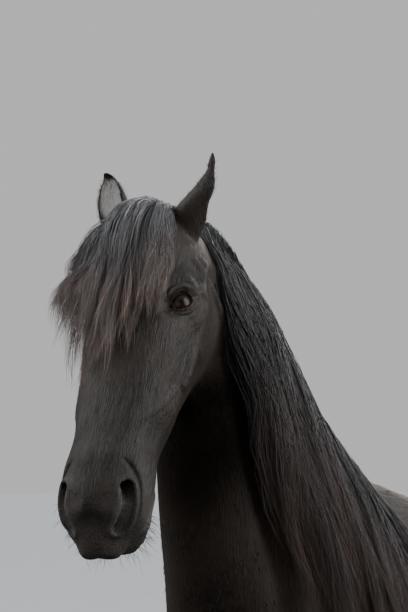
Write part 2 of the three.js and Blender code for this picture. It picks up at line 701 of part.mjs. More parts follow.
function tailLocks() {
  const random = seeded(37);
  const made = [];
  TAIL_RINGS.forEach(({ count, reach, from, to }, ring) => {
    for (let i = 0; i < count; i++) {
      const angle = (2 * Math.PI * (i + 0.5 * ring + 0.3 * random())) / count;
      const way = vec(-Math.cos(angle), Math.sin(angle), 0);
      way.x *= way.x > 0 ? TAIL.front : 1;
      const behind = (1 - Math.cos(angle)) / 2;
      const [x, z, r] = along(DOCK, lerp(from, to, behind * 0.8 + 0.2 * random()));
      const tip = TAIL.tips + 170 * random();
      const points = [0, 0.03, 0.16, 0.38, 0.68, 1].map((share, k) => {
        const pz = lerp(z, tip, share);
        const spread = lerp(r + 5, reach, THREE.MathUtils.smoothstep(share, 0, 0.34));
        const far = (k === 0 ? 0 : spread) * (1 - 0.62 * Math.max(share - 0.35, 0) ** 1.5);
        const px = lerp(x, TAIL.x, THREE.MathUtils.smoothstep(share, 0, 0.2));
        return vec(px + way.x * far, way.y * far * 1.12 + 9 * Math.sin(share * 9 + ring) * share, pz);
      });
      const faces = points.map((_point, k) => (k === 0 ? Z : way));
      made.push(lock(points, faces, TAIL));
    }
  });
  return made;
}

function tail() {
  return tailLocks().reduce((made, one) => made.add(one), dock());
}

// ---------------------------------------------------------------- mane and forelock
const CREST = [
  // where the mane grows, from the poll to the withers: x, z and how far the hair falls
  [588, 2056, 640],
  [500, 2030, 660],
  [405, 1974, 640],
  [335, 1910, 600],
  [280, 1838, 560],
  [236, 1778, 520],
  [190, 1724, 470],
  [140, 1678, 420],
  [92, 1642, 380],
];
// The unbent trunk and foreleg, for the hair that lies on them.
const flatSide = [
  new THREE.Mesh(loft(TRUNK, { ...TRUNK_SHAPE, ...flat }), seen),
  new THREE.Mesh(loft(FORELEG, LEG_SHAPE), seen),
];

/** How far left the unbent trunk or foreleg reaches at a point of the side view. */
function onLeft(x, z) {
  finder.set(vec(x, 900, z), vec(0, -1, 0));
  const hit = finder.intersectObjects(flatSide)[0];
  return hit ? Math.max(hit.point.y, 0) : 0;
}

/** Which way the trunk's left side looks at a point of the side view. */
function leftNormal(x, z) {
  const d = 24;
  const slope = (dx, dz) => (onLeft(x + dx, z + dz) - onLeft(x - dx, z - dz)) / (2 * d);
  return vec(-slope(d, 0), 1, -slope(0, d)).normalize();
}

const MANE = { wide: 32, thick: 3.2, wave: 9, perLayer: 6 };
const MANE_LAYERS = [
  // how far off the neck they hang, how far left of the crest's middle they leave it, and their roots' width
  { lift: 9, root: 22, rooted: 0.7 },
  { lift: 22, root: 9, rooted: 0.7 },
  { lift: 35, root: -4, rooted: 1.55 },
];

/** One lock from the crest, over it and down the neck's left side. t runs from the poll to the withers. */
function maneLock(t, { lift, root, rooted }, random) {
  const [x, z, drop] = along(CREST, t);
  const fall = drop * (0.88 + 0.22 * random());
  const back = lerp(58, 8, THREE.MathUtils.smoothstep(t, 0.15, 0.45));
  const ahead = lerp(100, 0, THREE.MathUtils.smoothstep(t, -0.02, 0.16));
  const next = along(CREST, t + 0.02);
  const up = vec(next[1] - z, 0, x - next[0]).normalize();
  const crest = (y, height) => vec(x, y, z).addScaledVector(up, height);
  const points = [crest(root - 24, -26), crest(root + 3, 4 + lift * 0.22)];
  const faces = [vec(0, -1, 0), up];
  let y = 0;
  [0.1, 0.26, 0.45, 0.7, 1].forEach((share) => {
    const wave = MANE.wave * Math.sin(x / 60 + share * 9 + lift) * Math.min(share * 3, 1);
    const forward = lerp(ahead, 0, THREE.MathUtils.smoothstep(share, 0.35, 0.72)) - back;
    const px = x + forward * (1 - Math.exp(-4 * share)) + wave;
    const pz = z - fall * share;
    const beside = onLeft(px, pz) + lift * lerp(0.5, 1, Math.min(share * 3, 1));
    y = Math.max(beside, y - 0.02 * fall);
    points.push(vec(px, y, pz));
    faces.push(y > beside ? vec(0, 1, 0) : leftNormal(px, pz));
  });
  const wide = MANE.wide * (0.85 + 0.25 * random());
  return lock(points, faces, { wide, thick: MANE.thick, rooted, place: bend });
}

function mane() {
  const random = seeded(11);
  return MANE_LAYERS.flatMap((layer, k) =>
    Array.from({ length: MANE.perLayer }, (_, i) =>
      maneLock((i + 0.15 + 0.33 * k + 0.1 * random()) / MANE.perLayer, layer, random),
    ),
  );
}

const FACE_HALF = 84; // how far to each side of the middle the forehead carries hair

/** How high the face is at a point seen from straight above it. Past its sides it falls away. */
function onFace(x, y) {
  const side = THREE.MathUtils.clamp(y, -FACE_HALF, FACE_HALF);
  finder.set(vec(Math.max(x, 4), side, 400), vec(0, 0, -1));
  const hit = finder.intersectObject(flatFace)[0];
  return (hit ? hit.point.z : -60) - Math.abs(y - side);
}

function faceNormal(x, y) {
  const d = 16;
  const slope = (dx, dy) => (onFace(x + dx, y + dy) - onFace(x - dx, y - dy)) / (2 * d);
  return vec(-slope(d, 0), -slope(0, d), 1).normalize();
}

const FORELOCK = { wide: 21, thick: 3.2, rooted: 0.6, wave: 5, perLayer: 4 };
const FORELOCK_LAYERS = [
  { lift: 8, root: 12 },
  { lift: 21, root: -8 },
];

/** One lock from the poll down the forehead. share runs from the horse's right to its left. */
function forelockLock(share, { lift, root }, random) {
  const y0 = lerp(-42, 44, share);
  const y1 = lerp(-146, 54, share);
  const long = lerp(290, 170, Math.abs(share - 0.5) * 2) + 40 * random();
  const points = [vec(root + 20, y0, -36), vec(root, y0, lift - 2 - (y0 / 8.5) ** 2)];
  const faces = [vec(-1, 0, 0), vec(-0.6, 0, 1)];
  [0.16, 0.38, 0.66, 1].forEach((s) => {
    const x = root + 10 + long * s;
    const y = lerp(y0, y1, Math.sin((s * Math.PI) / 2)) + FORELOCK.wave * Math.sin(y0 / 20 + 8 * s) * s;
    points.push(vec(x, y, onFace(x, y) + lift));
    faces.push(faceNormal(x, y));
  });
  return lock(points, faces, { ...FORELOCK, place: onHead });
}

function forelock() {
  const random = seeded(23);
  return FORELOCK_LAYERS.flatMap((layer, k) =>
    Array.from({ length: FORELOCK.perLayer }, (_, i) =>
      forelockLock((i + 0.3 + 0.4 * k) / FORELOCK.perLayer, layer, random),
    ),
  );
}

// ---------------------------------------------------------------- the horse
const horse = new THREE.Group();

function addNode(name, geometry, finish) {
  geometry.computeVertexNormals();
  const mesh = new THREE.Mesh(geometry, new THREE.MeshStandardMaterial(COLOURS[finish]));
  mesh.name = name;
  horse.add(mesh);
}

for (const [side, word] of [
  [1, "left"],
  [-1, "right"],
]) {
  addNode(`ear_${word}`, shape(ear(side).subtract(headGrown).subtract(trunkGrown)), "coat");
  addNode(`eye_${word}`, shape(eyeBall(side)), "eye");
  const fore = {
    rows: FORELEG,
    hoofRows: FORE_HOOF,
    fetlock: FORE_FETLOCK,
    side,
    stride: side > 0 ? 0 : 26,
    partAt: KNEE_CUT,
    names: [`forearm_${word}`, `fore_shank_${word}`, `fore_hoof_${word}`],
  };
  const hind = {
    rows: HINDLEG,
    hoofRows: HIND_HOOF,
    fetlock: HIND_FETLOCK,
    side,
    stride: side > 0 ? -30 : 30,
    partAt: HOCK_CUT,
    names: [`thigh_${word}`, `hind_shank_${word}`, `hind_hoof_${word}`],
  };
  [...leg(fore), ...leg(hind)].forEach((node) => addNode(...node));
}

// The trunk is parted by planes behind the neck, at the girth and before the croup.
const NECK_CUT = { at: vec(100, 0, 1640), way: vec(0.74, 0, 0.672) };
const GIRTH_X = -60;
const LOIN_X = -700;
const ears = [1, -1].map((side) => ear(side, GAP));
const neckEnd = NECK_CUT.at.clone().addScaledVector(NECK_CUT.way, -GAP);
const neckFlesh = trunk.subtract(beyond(NECK_CUT.at, NECK_CUT.way.clone().negate()));
const behindNeck = trunk.subtract(beyond(neckEnd, NECK_CUT.way));
const behindMane = trunkGrown.subtract(beyond(NECK_CUT.at, NECK_CUT.way));
const neck = mane().reduce((made, one) => made.add(one.subtract(behindMane)), neckFlesh);
addNode("neck", shape(neck.subtract(headGrown).subtract(ears[0]).subtract(ears[1])), "coat");
addNode("head", shape(headNode().subtract(ears[0]).subtract(ears[1])), "coat");
addNode("chest", shape(behindNeck.subtract(beyond(vec(GIRTH_X, 0, 0), X.clone().negate()))), "coat");
const barrelEnd = beyond(vec(LOIN_X, 0, 0), X.clone().negate());
addNode("barrel", shape(trunk.subtract(beyond(vec(GIRTH_X - GAP, 0, 0), X)).subtract(barrelEnd)), "coat");
addNode("croup", shape(trunk.subtract(beyond(vec(LOIN_X - GAP, 0, 0), X))), "coat");
addNode("tail", shape(tail().subtract(trunkGrown)), "hair");

// The origin is on the floor, under the middle of the whole.
const box = new THREE.Box3().setFromObject(horse);
const middle = box.getCenter(vec(0, 0, 0));
horse.position.set(-middle.x, -middle.y, 0);

export default horse;
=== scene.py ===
"""A life-size Friesian horse: one skin over its flesh, wet eyes, horn hooves and long wavy hair.

Shapes are worked out in millimetres in the horse's own frame, where +X runs to its front, +Y to its left and
the floor is at z 0, or in the head's frame, where x runs down the face from the poll, y to the left and z up
from it. to_row() turns points of the horse's own frame into metres of the row frame.
"""
import math

import bpy
import numpy as np
import openvdb
from mathutils import Matrix, Vector
from mathutils.bvhtree import BVHTree


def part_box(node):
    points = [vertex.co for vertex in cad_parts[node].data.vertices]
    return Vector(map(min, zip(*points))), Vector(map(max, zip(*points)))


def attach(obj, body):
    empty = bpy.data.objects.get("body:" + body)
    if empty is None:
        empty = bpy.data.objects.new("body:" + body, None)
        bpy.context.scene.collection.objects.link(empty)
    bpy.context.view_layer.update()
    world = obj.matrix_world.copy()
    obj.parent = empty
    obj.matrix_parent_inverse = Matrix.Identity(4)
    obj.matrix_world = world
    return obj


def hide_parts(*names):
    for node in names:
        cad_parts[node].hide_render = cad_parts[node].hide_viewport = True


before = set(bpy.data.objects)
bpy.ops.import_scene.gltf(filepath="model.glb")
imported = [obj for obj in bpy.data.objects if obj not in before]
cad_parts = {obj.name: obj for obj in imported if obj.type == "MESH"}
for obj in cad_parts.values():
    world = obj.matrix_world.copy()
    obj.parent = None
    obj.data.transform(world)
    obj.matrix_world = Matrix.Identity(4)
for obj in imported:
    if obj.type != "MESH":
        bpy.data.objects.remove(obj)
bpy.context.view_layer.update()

# ---------------------------------------------------------------- driving sizes
MM = 0.001
HOOF_TOE = 336.0  # the left fore hoof's foremost point in the horse's own frame
HOOF_SIDE = 122.0  # and its middle's distance from the middle plane
POLL = np.array([705.0, 0.0, 2092.0])
FACE_TILT = math.radians(31)
HEAD_TURN = math.radians(16)
HEAD_ROLL = math.radians(2)
NECK_BEND = {"from": 60.0, "to": 600.0, "turn": math.radians(12)}
# cornea: how far it stands out, and how wide it is, in radians; iris: how far round it reaches, in radians;
# pupil: the share of the iris it takes up, and how much wider than high it is
EYE = {"at": (190.0, 68.0, -51.0), "radius": 24.0, "cornea": (0.9, 0.62), "iris": 0.95, "pupil": (0.45, 1.7)}
COAT_DEPTH = 1.5  # the skin lies this far inside the solids
STRIDES = {("fore", 1): 0.0, ("fore", -1): 26.0, ("hind", 1): -30.0, ("hind", -1): 30.0}
SIDES = {"left": 1, "right": -1}
WORDS = {side: word for word, side in SIDES.items()}
SIDEWAYS = np.array([0.0, 1.0, 0.0])

hoof_low, hoof_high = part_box("fore_hoof_left")
SHIFT = np.array([hoof_high.x - HOOF_TOE * MM, (hoof_low.y + hoof_high.y) / 2 - HOOF_SIDE * MM, 0.0])


def to_row(points):
    """Millimetres of the horse's own frame to metres of the row frame."""
    return np.asarray(points) * MM + SHIFT


# ---------------------------------------------------------------- camera, light and floor
CAMERA = {"at": (2295.0, 1930.0, 1650.0), "pitch": 96.16, "turn": 136.98, "lens": 85.0}


def make_camera():
    camera = bpy.data.objects.new("camera", bpy.data.cameras.new("camera"))
    bpy.context.scene.collection.objects.link(camera)
    camera.data.sensor_fit = "VERTICAL"
    camera.data.sensor_height = 36.0
    camera.data.lens = CAMERA["lens"]
    camera.location = to_row(CAMERA["at"])
    camera.rotation_euler = (math.radians(CAMERA["pitch"]), 0.0, math.radians(CAMERA["turn"]))
    bpy.context.scene.camera = camera


# where each broad lamp hangs and what it lights, in the horse's own frame, with its width, power and colour
LAMPS = {
    "key": ((3300, -2500, 4300), (850, 150, 1800), 5.0, 260.0, (0.97, 0.98, 1.0)),
    "side": ((-2300, 3300, 3600), (500, 150, 1500), 4.5, 360.0, (0.98, 0.99, 1.0)),
    "front": ((4200, 3300, 2600), (700, 150, 1500), 4.0, 60.0, (1.0, 0.97, 0.93)),
    "rear": ((-4200, -3400, 3600), (-300, 0, 1200), 5.0, 280.0, (1.0, 0.98, 0.95)),
}
SKY = {"strength": 1.7, "wide": math.radians(100), "color": (0.90, 0.95, 1.0)}
# how bright the surround is from straight below, at 0, to straight above, at 1; how it looks behind the horse
SURROUND = {"bright": ((0.0, 0.10), (0.5, 0.10), (1.0, 0.30)), "seen": (0.57, 0.57, 0.57)}
TINT = (0.93, 0.97, 1.0)  # the surround's light is a little blue
FLOOR_HALF = 60.0  # metres


def add_light(name, kind, place, aim, power, color):
    light = bpy.data.lights.new(name, kind)
    light.energy = power
    light.color = color
    lamp = bpy.data.objects.new(name, light)
    bpy.context.scene.collection.objects.link(lamp)
    lamp.location = to_row(place)
    lamp.rotation_euler = Vector(to_row(place) - to_row(aim)).to_track_quat("Z", "Y").to_euler()
    lamp.visible_camera = False
    return light


def make_lights():
    sky = add_light("sky", "SUN", (0, 0, 9000), (600, -600, 0), SKY["strength"], SKY["color"])
    sky.angle = SKY["wide"]
    for name, (place, aim, wide, power, color) in LAMPS.items():
        lamp = add_light(name, "AREA", place, aim, power, color)
        lamp.shape = "DISK"
        lamp.size = wide


def make_surround():
    """A soft surround that is dim near the ground, so that the horse keeps its own shadows."""
    world = bpy.data.worlds.new("studio")
    bpy.context.scene.world = world
    world.use_nodes = True
    tree = Tree(world.node_tree)
    place = tree.add("TexCoord").outputs["Generated"]
    height = tree.add("SeparateXYZ", Vector=place).outputs["Z"]
    share = tree.add("MapRange", Value=height, From_Min=-1.0).outputs["Result"]
    stops = [(at, tuple(bright * tint for tint in TINT)) for at, bright in SURROUND["bright"]]
    around = tree.fill(tree.nodes["Background"], {"Color": tree.ramp(share, *stops)})
    seen = tree.add("Background", Color=(*SURROUND["seen"], 1))
    ray = tree.add("LightPath").outputs["Is Camera Ray"]
    mix = tree.add("MixShader")
    for socket, value in zip(mix.inputs, (ray, around.outputs[0], seen.outputs[0])):
        tree.put(socket, value)
    tree.fill(tree.nodes["World Output"], {"Surface": mix.outputs[0]})


def make_floor():
    """A plain pale floor, which throws no light back up."""
    corners = np.array([[-1, -1, 0], [1, -1, 0], [1, 1, 0], [-1, 1, 0]])
    floor = new_mesh("floor", FLOOR_HALF * corners, [[0, 1, 2, 3]])
    floor.data.materials.append(plain_material("floor", (0.86, 0.86, 0.86), 0.9))
    floor.visible_diffuse = False
    floor.visible_glossy = False


def make_studio():
    make_surround()
    make_floor()
    make_lights()


# ---------------------------------------------------------------- meshes from arrays
def new_mesh(name, points, faces):
    """A smooth object whose mesh has these points, in row metres, and faces that all have as many corners."""
    faces = np.asarray(faces, np.int32)
    mesh = bpy.data.meshes.new(name)
    mesh.vertices.add(len(points))
    mesh.vertices.foreach_set("co", np.asarray(points, np.float32).ravel())
    mesh.loops.add(faces.size)
    mesh.loops.foreach_set("vertex_index", faces.ravel())
    mesh.polygons.add(len(faces))
    mesh.polygons.foreach_set("loop_start", np.arange(0, faces.size, faces.shape[1], dtype=np.int32))
    mesh.polygons.foreach_set("use_smooth", np.ones(len(faces), bool))
    mesh.update(calc_edges=True)
    mesh.validate()
    piece = bpy.data.objects.new(name, mesh)
    bpy.context.scene.collection.objects.link(piece)
    return piece


def store(piece, name, values):
    """Keeps one number for each point of a mesh, for its material."""
    layer = piece.data.attributes.new(name, "FLOAT", "POINT")
    layer.data.foreach_set("value", np.asarray(values, np.float32))


def arrays_of(mesh):
    """Points and triangles of a mesh."""
    points = np.empty(len(mesh.vertices) * 3, np.float32)
    mesh.vertices.foreach_get("co", points)
    mesh.calc_loop_triangles()
    triangles = np.empty(len(mesh.loop_triangles) * 3, np.int32)
    mesh.loop_triangles.foreach_get("vertices", triangles)
    return points.reshape(-1, 3).astype(float), triangles.reshape(-1, 3)


def normals_of(points, triangles):
    """The way each point looks: its triangles' normals, weighted by area."""
    a, b, c = (points[triangles[:, k]] for k in range(3))
    face = np.cross(b - a, c - a)
    total = np.zeros_like(points)
    for k in range(3):
        for axis in range(3):
            total[:, axis] += np.bincount(triangles[:, k], face[:, axis], len(points))
    return unit(total)


def unit(vectors):
    return vectors / np.maximum(np.linalg.norm(vectors, axis=-1, keepdims=True), 1e-9)


def sides_of(triangles):
    """The pairs of points at the triangles' sides: all first sides, then all second and third ones."""
    return np.sort(np.concatenate([triangles[:, [0, 1]], triangles[:, [1, 2]], triangles[:, [2, 0]]]), axis=1)


def bell(x):
    """1 at 0, falling smoothly to 0 on both sides."""
    return np.exp(-(x**2))


PUSH_BACK = -1.04  # how far a step of smoothing is taken back where the size is kept


def smoothed(points, triangles, steps, weight=0.5, keep_size=True):
    """Evens a surface out. keep_size pushes it back after each step, so that it doesn't shrink."""
    edges = np.unique(sides_of(triangles), axis=0)
    ends, others = np.concatenate([edges, edges[:, ::-1]]).T
    count = np.maximum(np.bincount(ends, minlength=len(points)), 1)[:, None]
    weight = np.broadcast_to(np.asarray(weight, float).reshape(-1, 1), (len(points), 1))
    points = points.copy()
    for step in range(steps * (2 if keep_size else 1)):
        total = np.stack([np.bincount(ends, points[others, k], len(points)) for k in range(3)], axis=1)
        share = PUSH_BACK if keep_size and step % 2 else 1.0
        points += (total / count - points) * weight * share
    return points


def refined(points, triangles, chosen):
    """Halves the edges of the chosen triangles, and splits their neighbours to match."""
    edges, place = np.unique(sides_of(triangles), axis=0, return_inverse=True)
    place = place.reshape(3, -1).T
    split = np.zeros(len(edges), bool)
    split[place[chosen].ravel()] = True
    new_index = np.full(len(edges), -1)
    new_index[split] = len(points) + np.arange(split.sum())
    points = np.concatenate([points, points[edges[split]].mean(axis=1)])
    middle = new_index[place]
    halves = (middle >= 0).sum(axis=1)
    made = [triangles[halves == 0]]
    whole = halves == 3
    (a, b, c), (ab, bc, ca) = triangles[whole].T, middle[whole].T
    made += [np.stack(t, axis=1) for t in ((a, ab, ca), (ab, b, bc), (ca, bc, c), (ab, bc, ca))]
    for turn in range(3):
        rolled, mids = np.roll(triangles, -turn, axis=1), np.roll(middle, -turn, axis=1)
        one = (halves == 1) & (mids[:, 0] >= 0)
        (a, b, c), ab = rolled[one].T, mids[one, 0]
        made += [np.stack(t, axis=1) for t in ((a, ab, c), (ab, b, c))]
        two = (halves == 2) & (mids[:, 2] < 0)
        (a, b, c), (ab, bc) = rolled[two].T, mids[two, :2].T
        made += [np.stack(t, axis=1) for t in ((ab, b, bc), (a, ab, bc), (a, bc, c))]
    return points, np.concatenate(made)


# ---------------------------------------------------------------- smooth rows
def along(rows, t):
    """Smooth values at each t, from 0 to 1, through rows of numbers."""
    rows = np.asarray(rows, float)
    t = np.asarray(t, float)
    last = len(rows) - 1
    at = np.clip(t, 0, 1) * last
    i = np.minimum(np.floor(at).astype(int), last - 1)
    f = (at - i).reshape(at.shape + (1,) * (rows.ndim - 1))
    a, b, d, e = (rows[np.clip(i + k, 0, last)] for k in (-1, 0, 1, 2))
    return (
        (2 * f**3 - 3 * f**2 + 1) * b
        + (f**3 - 2 * f**2 + f) * (d - a) / 2
        + (3 * f**2 - 2 * f**3) * d
        + (f**3 - f**2) * (e - b) / 2
    )


def step_between(x, low, high):
    t = np.clip((np.asarray(x, float) - low) / (high - low), 0, 1)
    return t * t * (3 - 2 * t)


def turns(around):
    """Even steps of the angle round a ring."""
    return np.linspace(0, 2 * np.pi, around, endpoint=False)


def loft(rows, around, rings, grow=-COAT_DEPTH):
    """Rings through rows of front x, z, back x, z, upper, middle and lower half width, squareness, shift."""
    ax, az, bx, bz, upper, middle, lower, square, shift = along(rows, np.linspace(0, 1, rings)).T[:, :, None]
    angle = turns(around)
    c = np.sign(np.cos(angle)) * np.abs(np.cos(angle)) ** square
    s = np.sign(np.sin(angle)) * np.abs(np.sin(angle)) ** square
    q = (1 - c) / 2
    width = upper * (1 - q) ** 2 + middle * 2 * q * (1 - q) + lower * q**2
    far = 0.5 + (q - 0.5) * (1 + 2 * grow / np.hypot(ax - bx, az - bz))
    return np.stack([ax + (bx - ax) * far, shift + s * (width + grow), az + (bz - az) * far], axis=-1)


def closed(grid):
    """Points and triangles of a skin over rings, with a fan at each end."""
    rings, around = grid.shape[:2]
    r, j = np.meshgrid(np.arange(rings - 1), np.arange(around), indexing="ij")
    k = (j + 1) % around
    a, b = (r * around + j).ravel(), (r * around + k).ravel()
    c, d = a + around, b + around
    points = np.concatenate([grid.reshape(-1, 3), grid[0].mean(axis=0)[None], grid[-1].mean(axis=0)[None]])
    j, k = np.arange(around), (np.arange(around) + 1) % around
    base = (rings - 1) * around
    ends = [
        np.stack([k, j, np.full(around, len(points) - 2)], axis=1),
        np.stack([base + j, base + k, np.full(around, len(points) - 1)], axis=1),
    ]
    triangles = np.concatenate([np.stack([a, b, d], axis=1), np.stack([a, d, c], axis=1), *ends])
    a, b, c = (points[triangles[:, k]] for k in range(3))
    volume = np.einsum("ij,ij->i", a, np.cross(b, c)).sum()
    return points, triangles if volume > 0 else triangles[:, ::-1]


def near(points, at, radii):
    """1 at a place, falling to 0 around it."""
    return np.exp(-(((points - np.asarray(at, float)) / np.asarray(radii, float)) ** 2).sum(axis=-1))


def swelled(points, rows):
    """Moves points by each row of [x, y, z, three radii, three pushes], on both sides where y isn't 0."""
    moved = points.copy()
    for x, y, z, rx, ry, rz, dx, dy, dz in rows:
        for side in (1, -1) if y else (1,):
            share = near(points, (x, side * y, z), (rx, ry, rz))
            moved += share[..., None] * np.array([dx, side * dy, dz])
    return moved


# ---------------------------------------------------------------- places
def bent(points):
    """The neck, and what it carries, bent to the horse's left."""
    low, high, turn = NECK_BEND["from"], NECK_BEND["to"], NECK_BEND["turn"]
    points = np.asarray(points, float)
    x, y, z = np.moveaxis(points, -1, 0)
    radius = (high - low) / turn
    angle = np.clip((x - low) / (high - low), 0, 1) * turn
    past = np.maximum(x - high, 0)
    bent_x = low + (radius - y) * np.sin(angle) + past * np.cos(angle)
    bent_y = radius - (radius - y) * np.cos(angle) + past * np.sin(angle)
    beyond = x > low
    return np.stack([np.where(beyond, bent_x, x), np.where(beyond, bent_y, y), z], axis=-1)


def rotation(axis, angle):
    c, s = math.cos(angle), math.sin(angle)
    if axis == "x":
        return np.array([[1, 0, 0], [0, c, -s], [0, s, c]])
    return np.array([[c, -s, 0], [s, c, 0], [0, 0, 1]])


FACE_AXES = np.array(
    [
        [math.sin(FACE_TILT), 0, math.cos(FACE_TILT)],
        [0, 1, 0],
        [-math.cos(FACE_TILT), 0, math.sin(FACE_TILT)],
    ]
)
HEAD_TURNED = rotation("z", NECK_BEND["turn"]) @ rotation("z", HEAD_TURN) @ rotation("x", HEAD_ROLL)
HEAD_AXES = HEAD_TURNED @ FACE_AXES
HEAD_AT = bent(POLL)


def from_head(points):
    """The head's own frame to the horse's."""
    return np.asarray(points) @ HEAD_AXES.T + HEAD_AT


def to_head(points):
    return (np.asarray(points) - HEAD_AT) @ HEAD_AXES


def mirrored(places):
    """Places of both sides, all on the left."""
    return places * (1, 0, 1) + np.abs(places) * (0, 1, 0)


def on_left(points, change):
    """Changes the head's points as if all were on its left, and puts each back on its own side."""
    face = to_head(points)
    side = np.where(face[:, 1:2] < 0, (1, -1, 1), 1)
    return from_head(change(face * side) * side)


def axes_of(first, out):
    """Three axes as columns: the first is made square to the last, which is the way out."""
    out = unit(np.array(out))
    first = unit(np.array(first) - out * (np.array(first) @ out))
    return np.stack([first, np.cross(out, first), out], axis=1)


# ---------------------------------------------------------------- the flesh's own shapes
# front or top x, z, back or bottom x, z, upper, middle and lower half width, squareness, sideways shift
TRUNK = [
    [-1168, 1395, -1172, 1290, 26, 60, 50, 1, 0],
    [-1146, 1450, -1158, 1215, 80, 175, 150, 0.95, 0],
    [-1084, 1508, -1108, 1130, 130, 265, 215, 0.9, 0],
    [-970, 1558, -998, 1035, 190, 326, 262, 0.88, 0],
    [-836, 1588, -846, 965, 205, 328, 256, 0.88, 0],
    [-703, 1580, -694, 935, 188, 318, 252, 0.9, 0],
    [-551, 1552, -532, 900, 176, 336, 276, 0.92, 0],
    [-400, 1534, -380, 874, 170, 352, 290, 0.93, 0],
    [-250, 1538, -230, 858, 155, 346, 276, 0.93, 0],
    [-110, 1572, -80, 850, 108, 322, 244, 0.93, 0],
    [0, 1604, 90, 862, 72, 298, 212, 0.93, 0],
    [62, 1622, 240, 905, 64, 298, 208, 0.92, 0],
    [120, 1660, 370, 985, 62, 280, 210, 0.9, 0],
    [172, 1708, 472, 1100, 60, 244, 200, 0.92, 0],
    [215, 1752, 529, 1235, 52, 198, 166, 0.95, 0],
    [252, 1800, 571, 1378, 44, 162, 138, 1, 0],
    [296, 1860, 601, 1500, 38, 140, 120, 1, 0],
    [352, 1930, 618, 1610, 34, 124, 106, 1, 0],
    [432, 1992, 622, 1710, 32, 112, 94, 1, 0],
    [525, 2042, 618, 1800, 34, 100, 84, 1, 0],
    [612, 2064, 638, 1880, 40, 82, 68, 1, 0],
    [668, 2054, 662, 1930, 34, 50, 44, 1, 0],
]
# at x, y, z, radii, push; mirrored where y isn't 0
TRUNK_SWELLS = [
    [395, 205, 1130, 85, 90, 90, 16, 24, 0],  # point of the shoulder
    [230, 230, 1250, 120, 120, 150, 0, 14, 0],  # shoulder
    [60, 210, 1430, 60, 120, 150, 0, 12, 0],  # shoulder blade's ridge
    [140, 200, 1020, 110, 110, 90, -6, 20, 0],  # upper arm
    [-60, 240, 1120, 60, 120, 160, 0, -12, 0],  # hollow behind the elbow
    [430, 70, 1060, 80, 70, 80, 22, 10, -10],  # breast
    [-950, 230, 1250, 150, 130, 150, 0, 12, 0],  # thigh
    [-1130, 110, 1280, 60, 80, 120, -20, 4, 0],  # buttock
    [-750, 210, 1475, 50, 90, 70, 0, 16, 8],  # point of the hip
    [-655, 230, 1400, 70, 100, 80, 0, -14, 0],  # flank hollow
    [-815, 210, 985, 90, 110, 70, 22, 12, 0],  # stifle
    [-950, 0, 1590, 160, 30, 60, 0, 0, -10],  # furrow of the croup
]
# in the head's frame: face line x, z, jaw line x, z, and the same widths
HEAD = [
    [-22, -40, -10, -110, 22, 34, 26, 1, 0],
    [4, -12, 4, -168, 46, 66, 50, 0.95, 0],
    [40, 8, 34, -214, 70, 84, 62, 0.9, 0],
    [95, 16, 78, -250, 88, 100, 66, 0.88, 0],
    [155, 17, 130, -268, 98, 110, 68, 0.94, 0],
    [215, 10, 196, -262, 106, 113, 62, 0.94, 0],
    [280, 3, 264, -234, 98, 105, 52, 0.9, 0],
    [340, -2, 326, -200, 84, 98, 48, 0.85, 0],
    [400, -4, 388, -172, 79, 90, 47, 0.86, 0],
    [455, -5, 446, -156, 72, 77, 45, 0.88, 0],
    [505, -5, 498, -152, 70, 87, 52, 0.88, 0],
    [548, -9, 544, -162, 65, 84, 44, 0.9, 0],
    [584, -18, 578, -166, 51, 75, 47, 0.9, 0],
    [603, -38, 594, -148, 37, 54, 40, 0.9, 0],
    [637, -64, 616, -118, 23, 29, 28, 1, 0],
]
HEAD_SWELLS = [
    [160, 88, -34, 26, 30, 26, 0, 8, 6],  # brow
    [170, 100, -84, 44, 40, 26, 0, 9, 0],  # bone behind the eye
    [128, 66, -6, 22, 26, 24, 0, -4, -8],  # hollow above the brow
    [300, 92, -92, 60, 30, 13, 0, 7, 0],  # facial crest
    [170, 80, -185, 70, 40, 60, 0, 7, 0],  # cheek
    [430, 60, -60, 50, 30, 26, 0, -3, 0],  # slope of the nose
    [560, 64, -56, 34, 30, 36, 3, 3, 3],  # nostril's swell
    [560, 30, -162, 26, 36, 14, 0, 5, -9],  # chin
    [496, 66, -116, 24, 26, 20, 0, -6, 0],  # corner of the mouth
    [606, 0, -60, 18, 40, 24, 6, 0, 0],  # upper lip
]
HOOF_TOP = 96.0
FORELEG = [
    [300, 1290, 90, 1290, 40, 60, 40, 1, 150],
    [325, 1200, 52, 1195, 58, 84, 58, 1, 166],
    [330, 1100, 42, 1095, 62, 92, 64, 1, 170],
    [314, 1010, 52, 1005, 62, 92, 64, 1, 164],
    [286, 920, 70, 930, 60, 84, 56, 1, 154],
    [262, 840, 96, 850, 54, 70, 48, 1, 146],
    [245, 750, 114, 760, 48, 60, 44, 1, 139],
    [231, 650, 127, 660, 43, 50, 40, 1, 134],
    [223, 560, 133, 565, 41, 47, 39, 0.95, 130],
    [230, 500, 124, 500, 50, 56, 42, 0.85, 128],
    [230, 445, 116, 450, 50, 55, 40, 0.85, 126],
    [213, 395, 128, 395, 41, 43, 33, 0.9, 125],
    [204, 340, 124, 340, 33, 35, 27, 0.95, 124],
    [204, 280, 120, 280, 34, 36, 29, 0.95, 123],
    [218, 232, 106, 225, 45, 47, 37, 0.95, 122],
    [232, 185, 120, 180, 41, 43, 35, 0.95, 122],
    [258, 140, 146, 130, 43, 47, 41, 0.95, 122],
    [286, HOOF_TOP, 166, 84, 56, 64, 54, 0.95, 122],
]
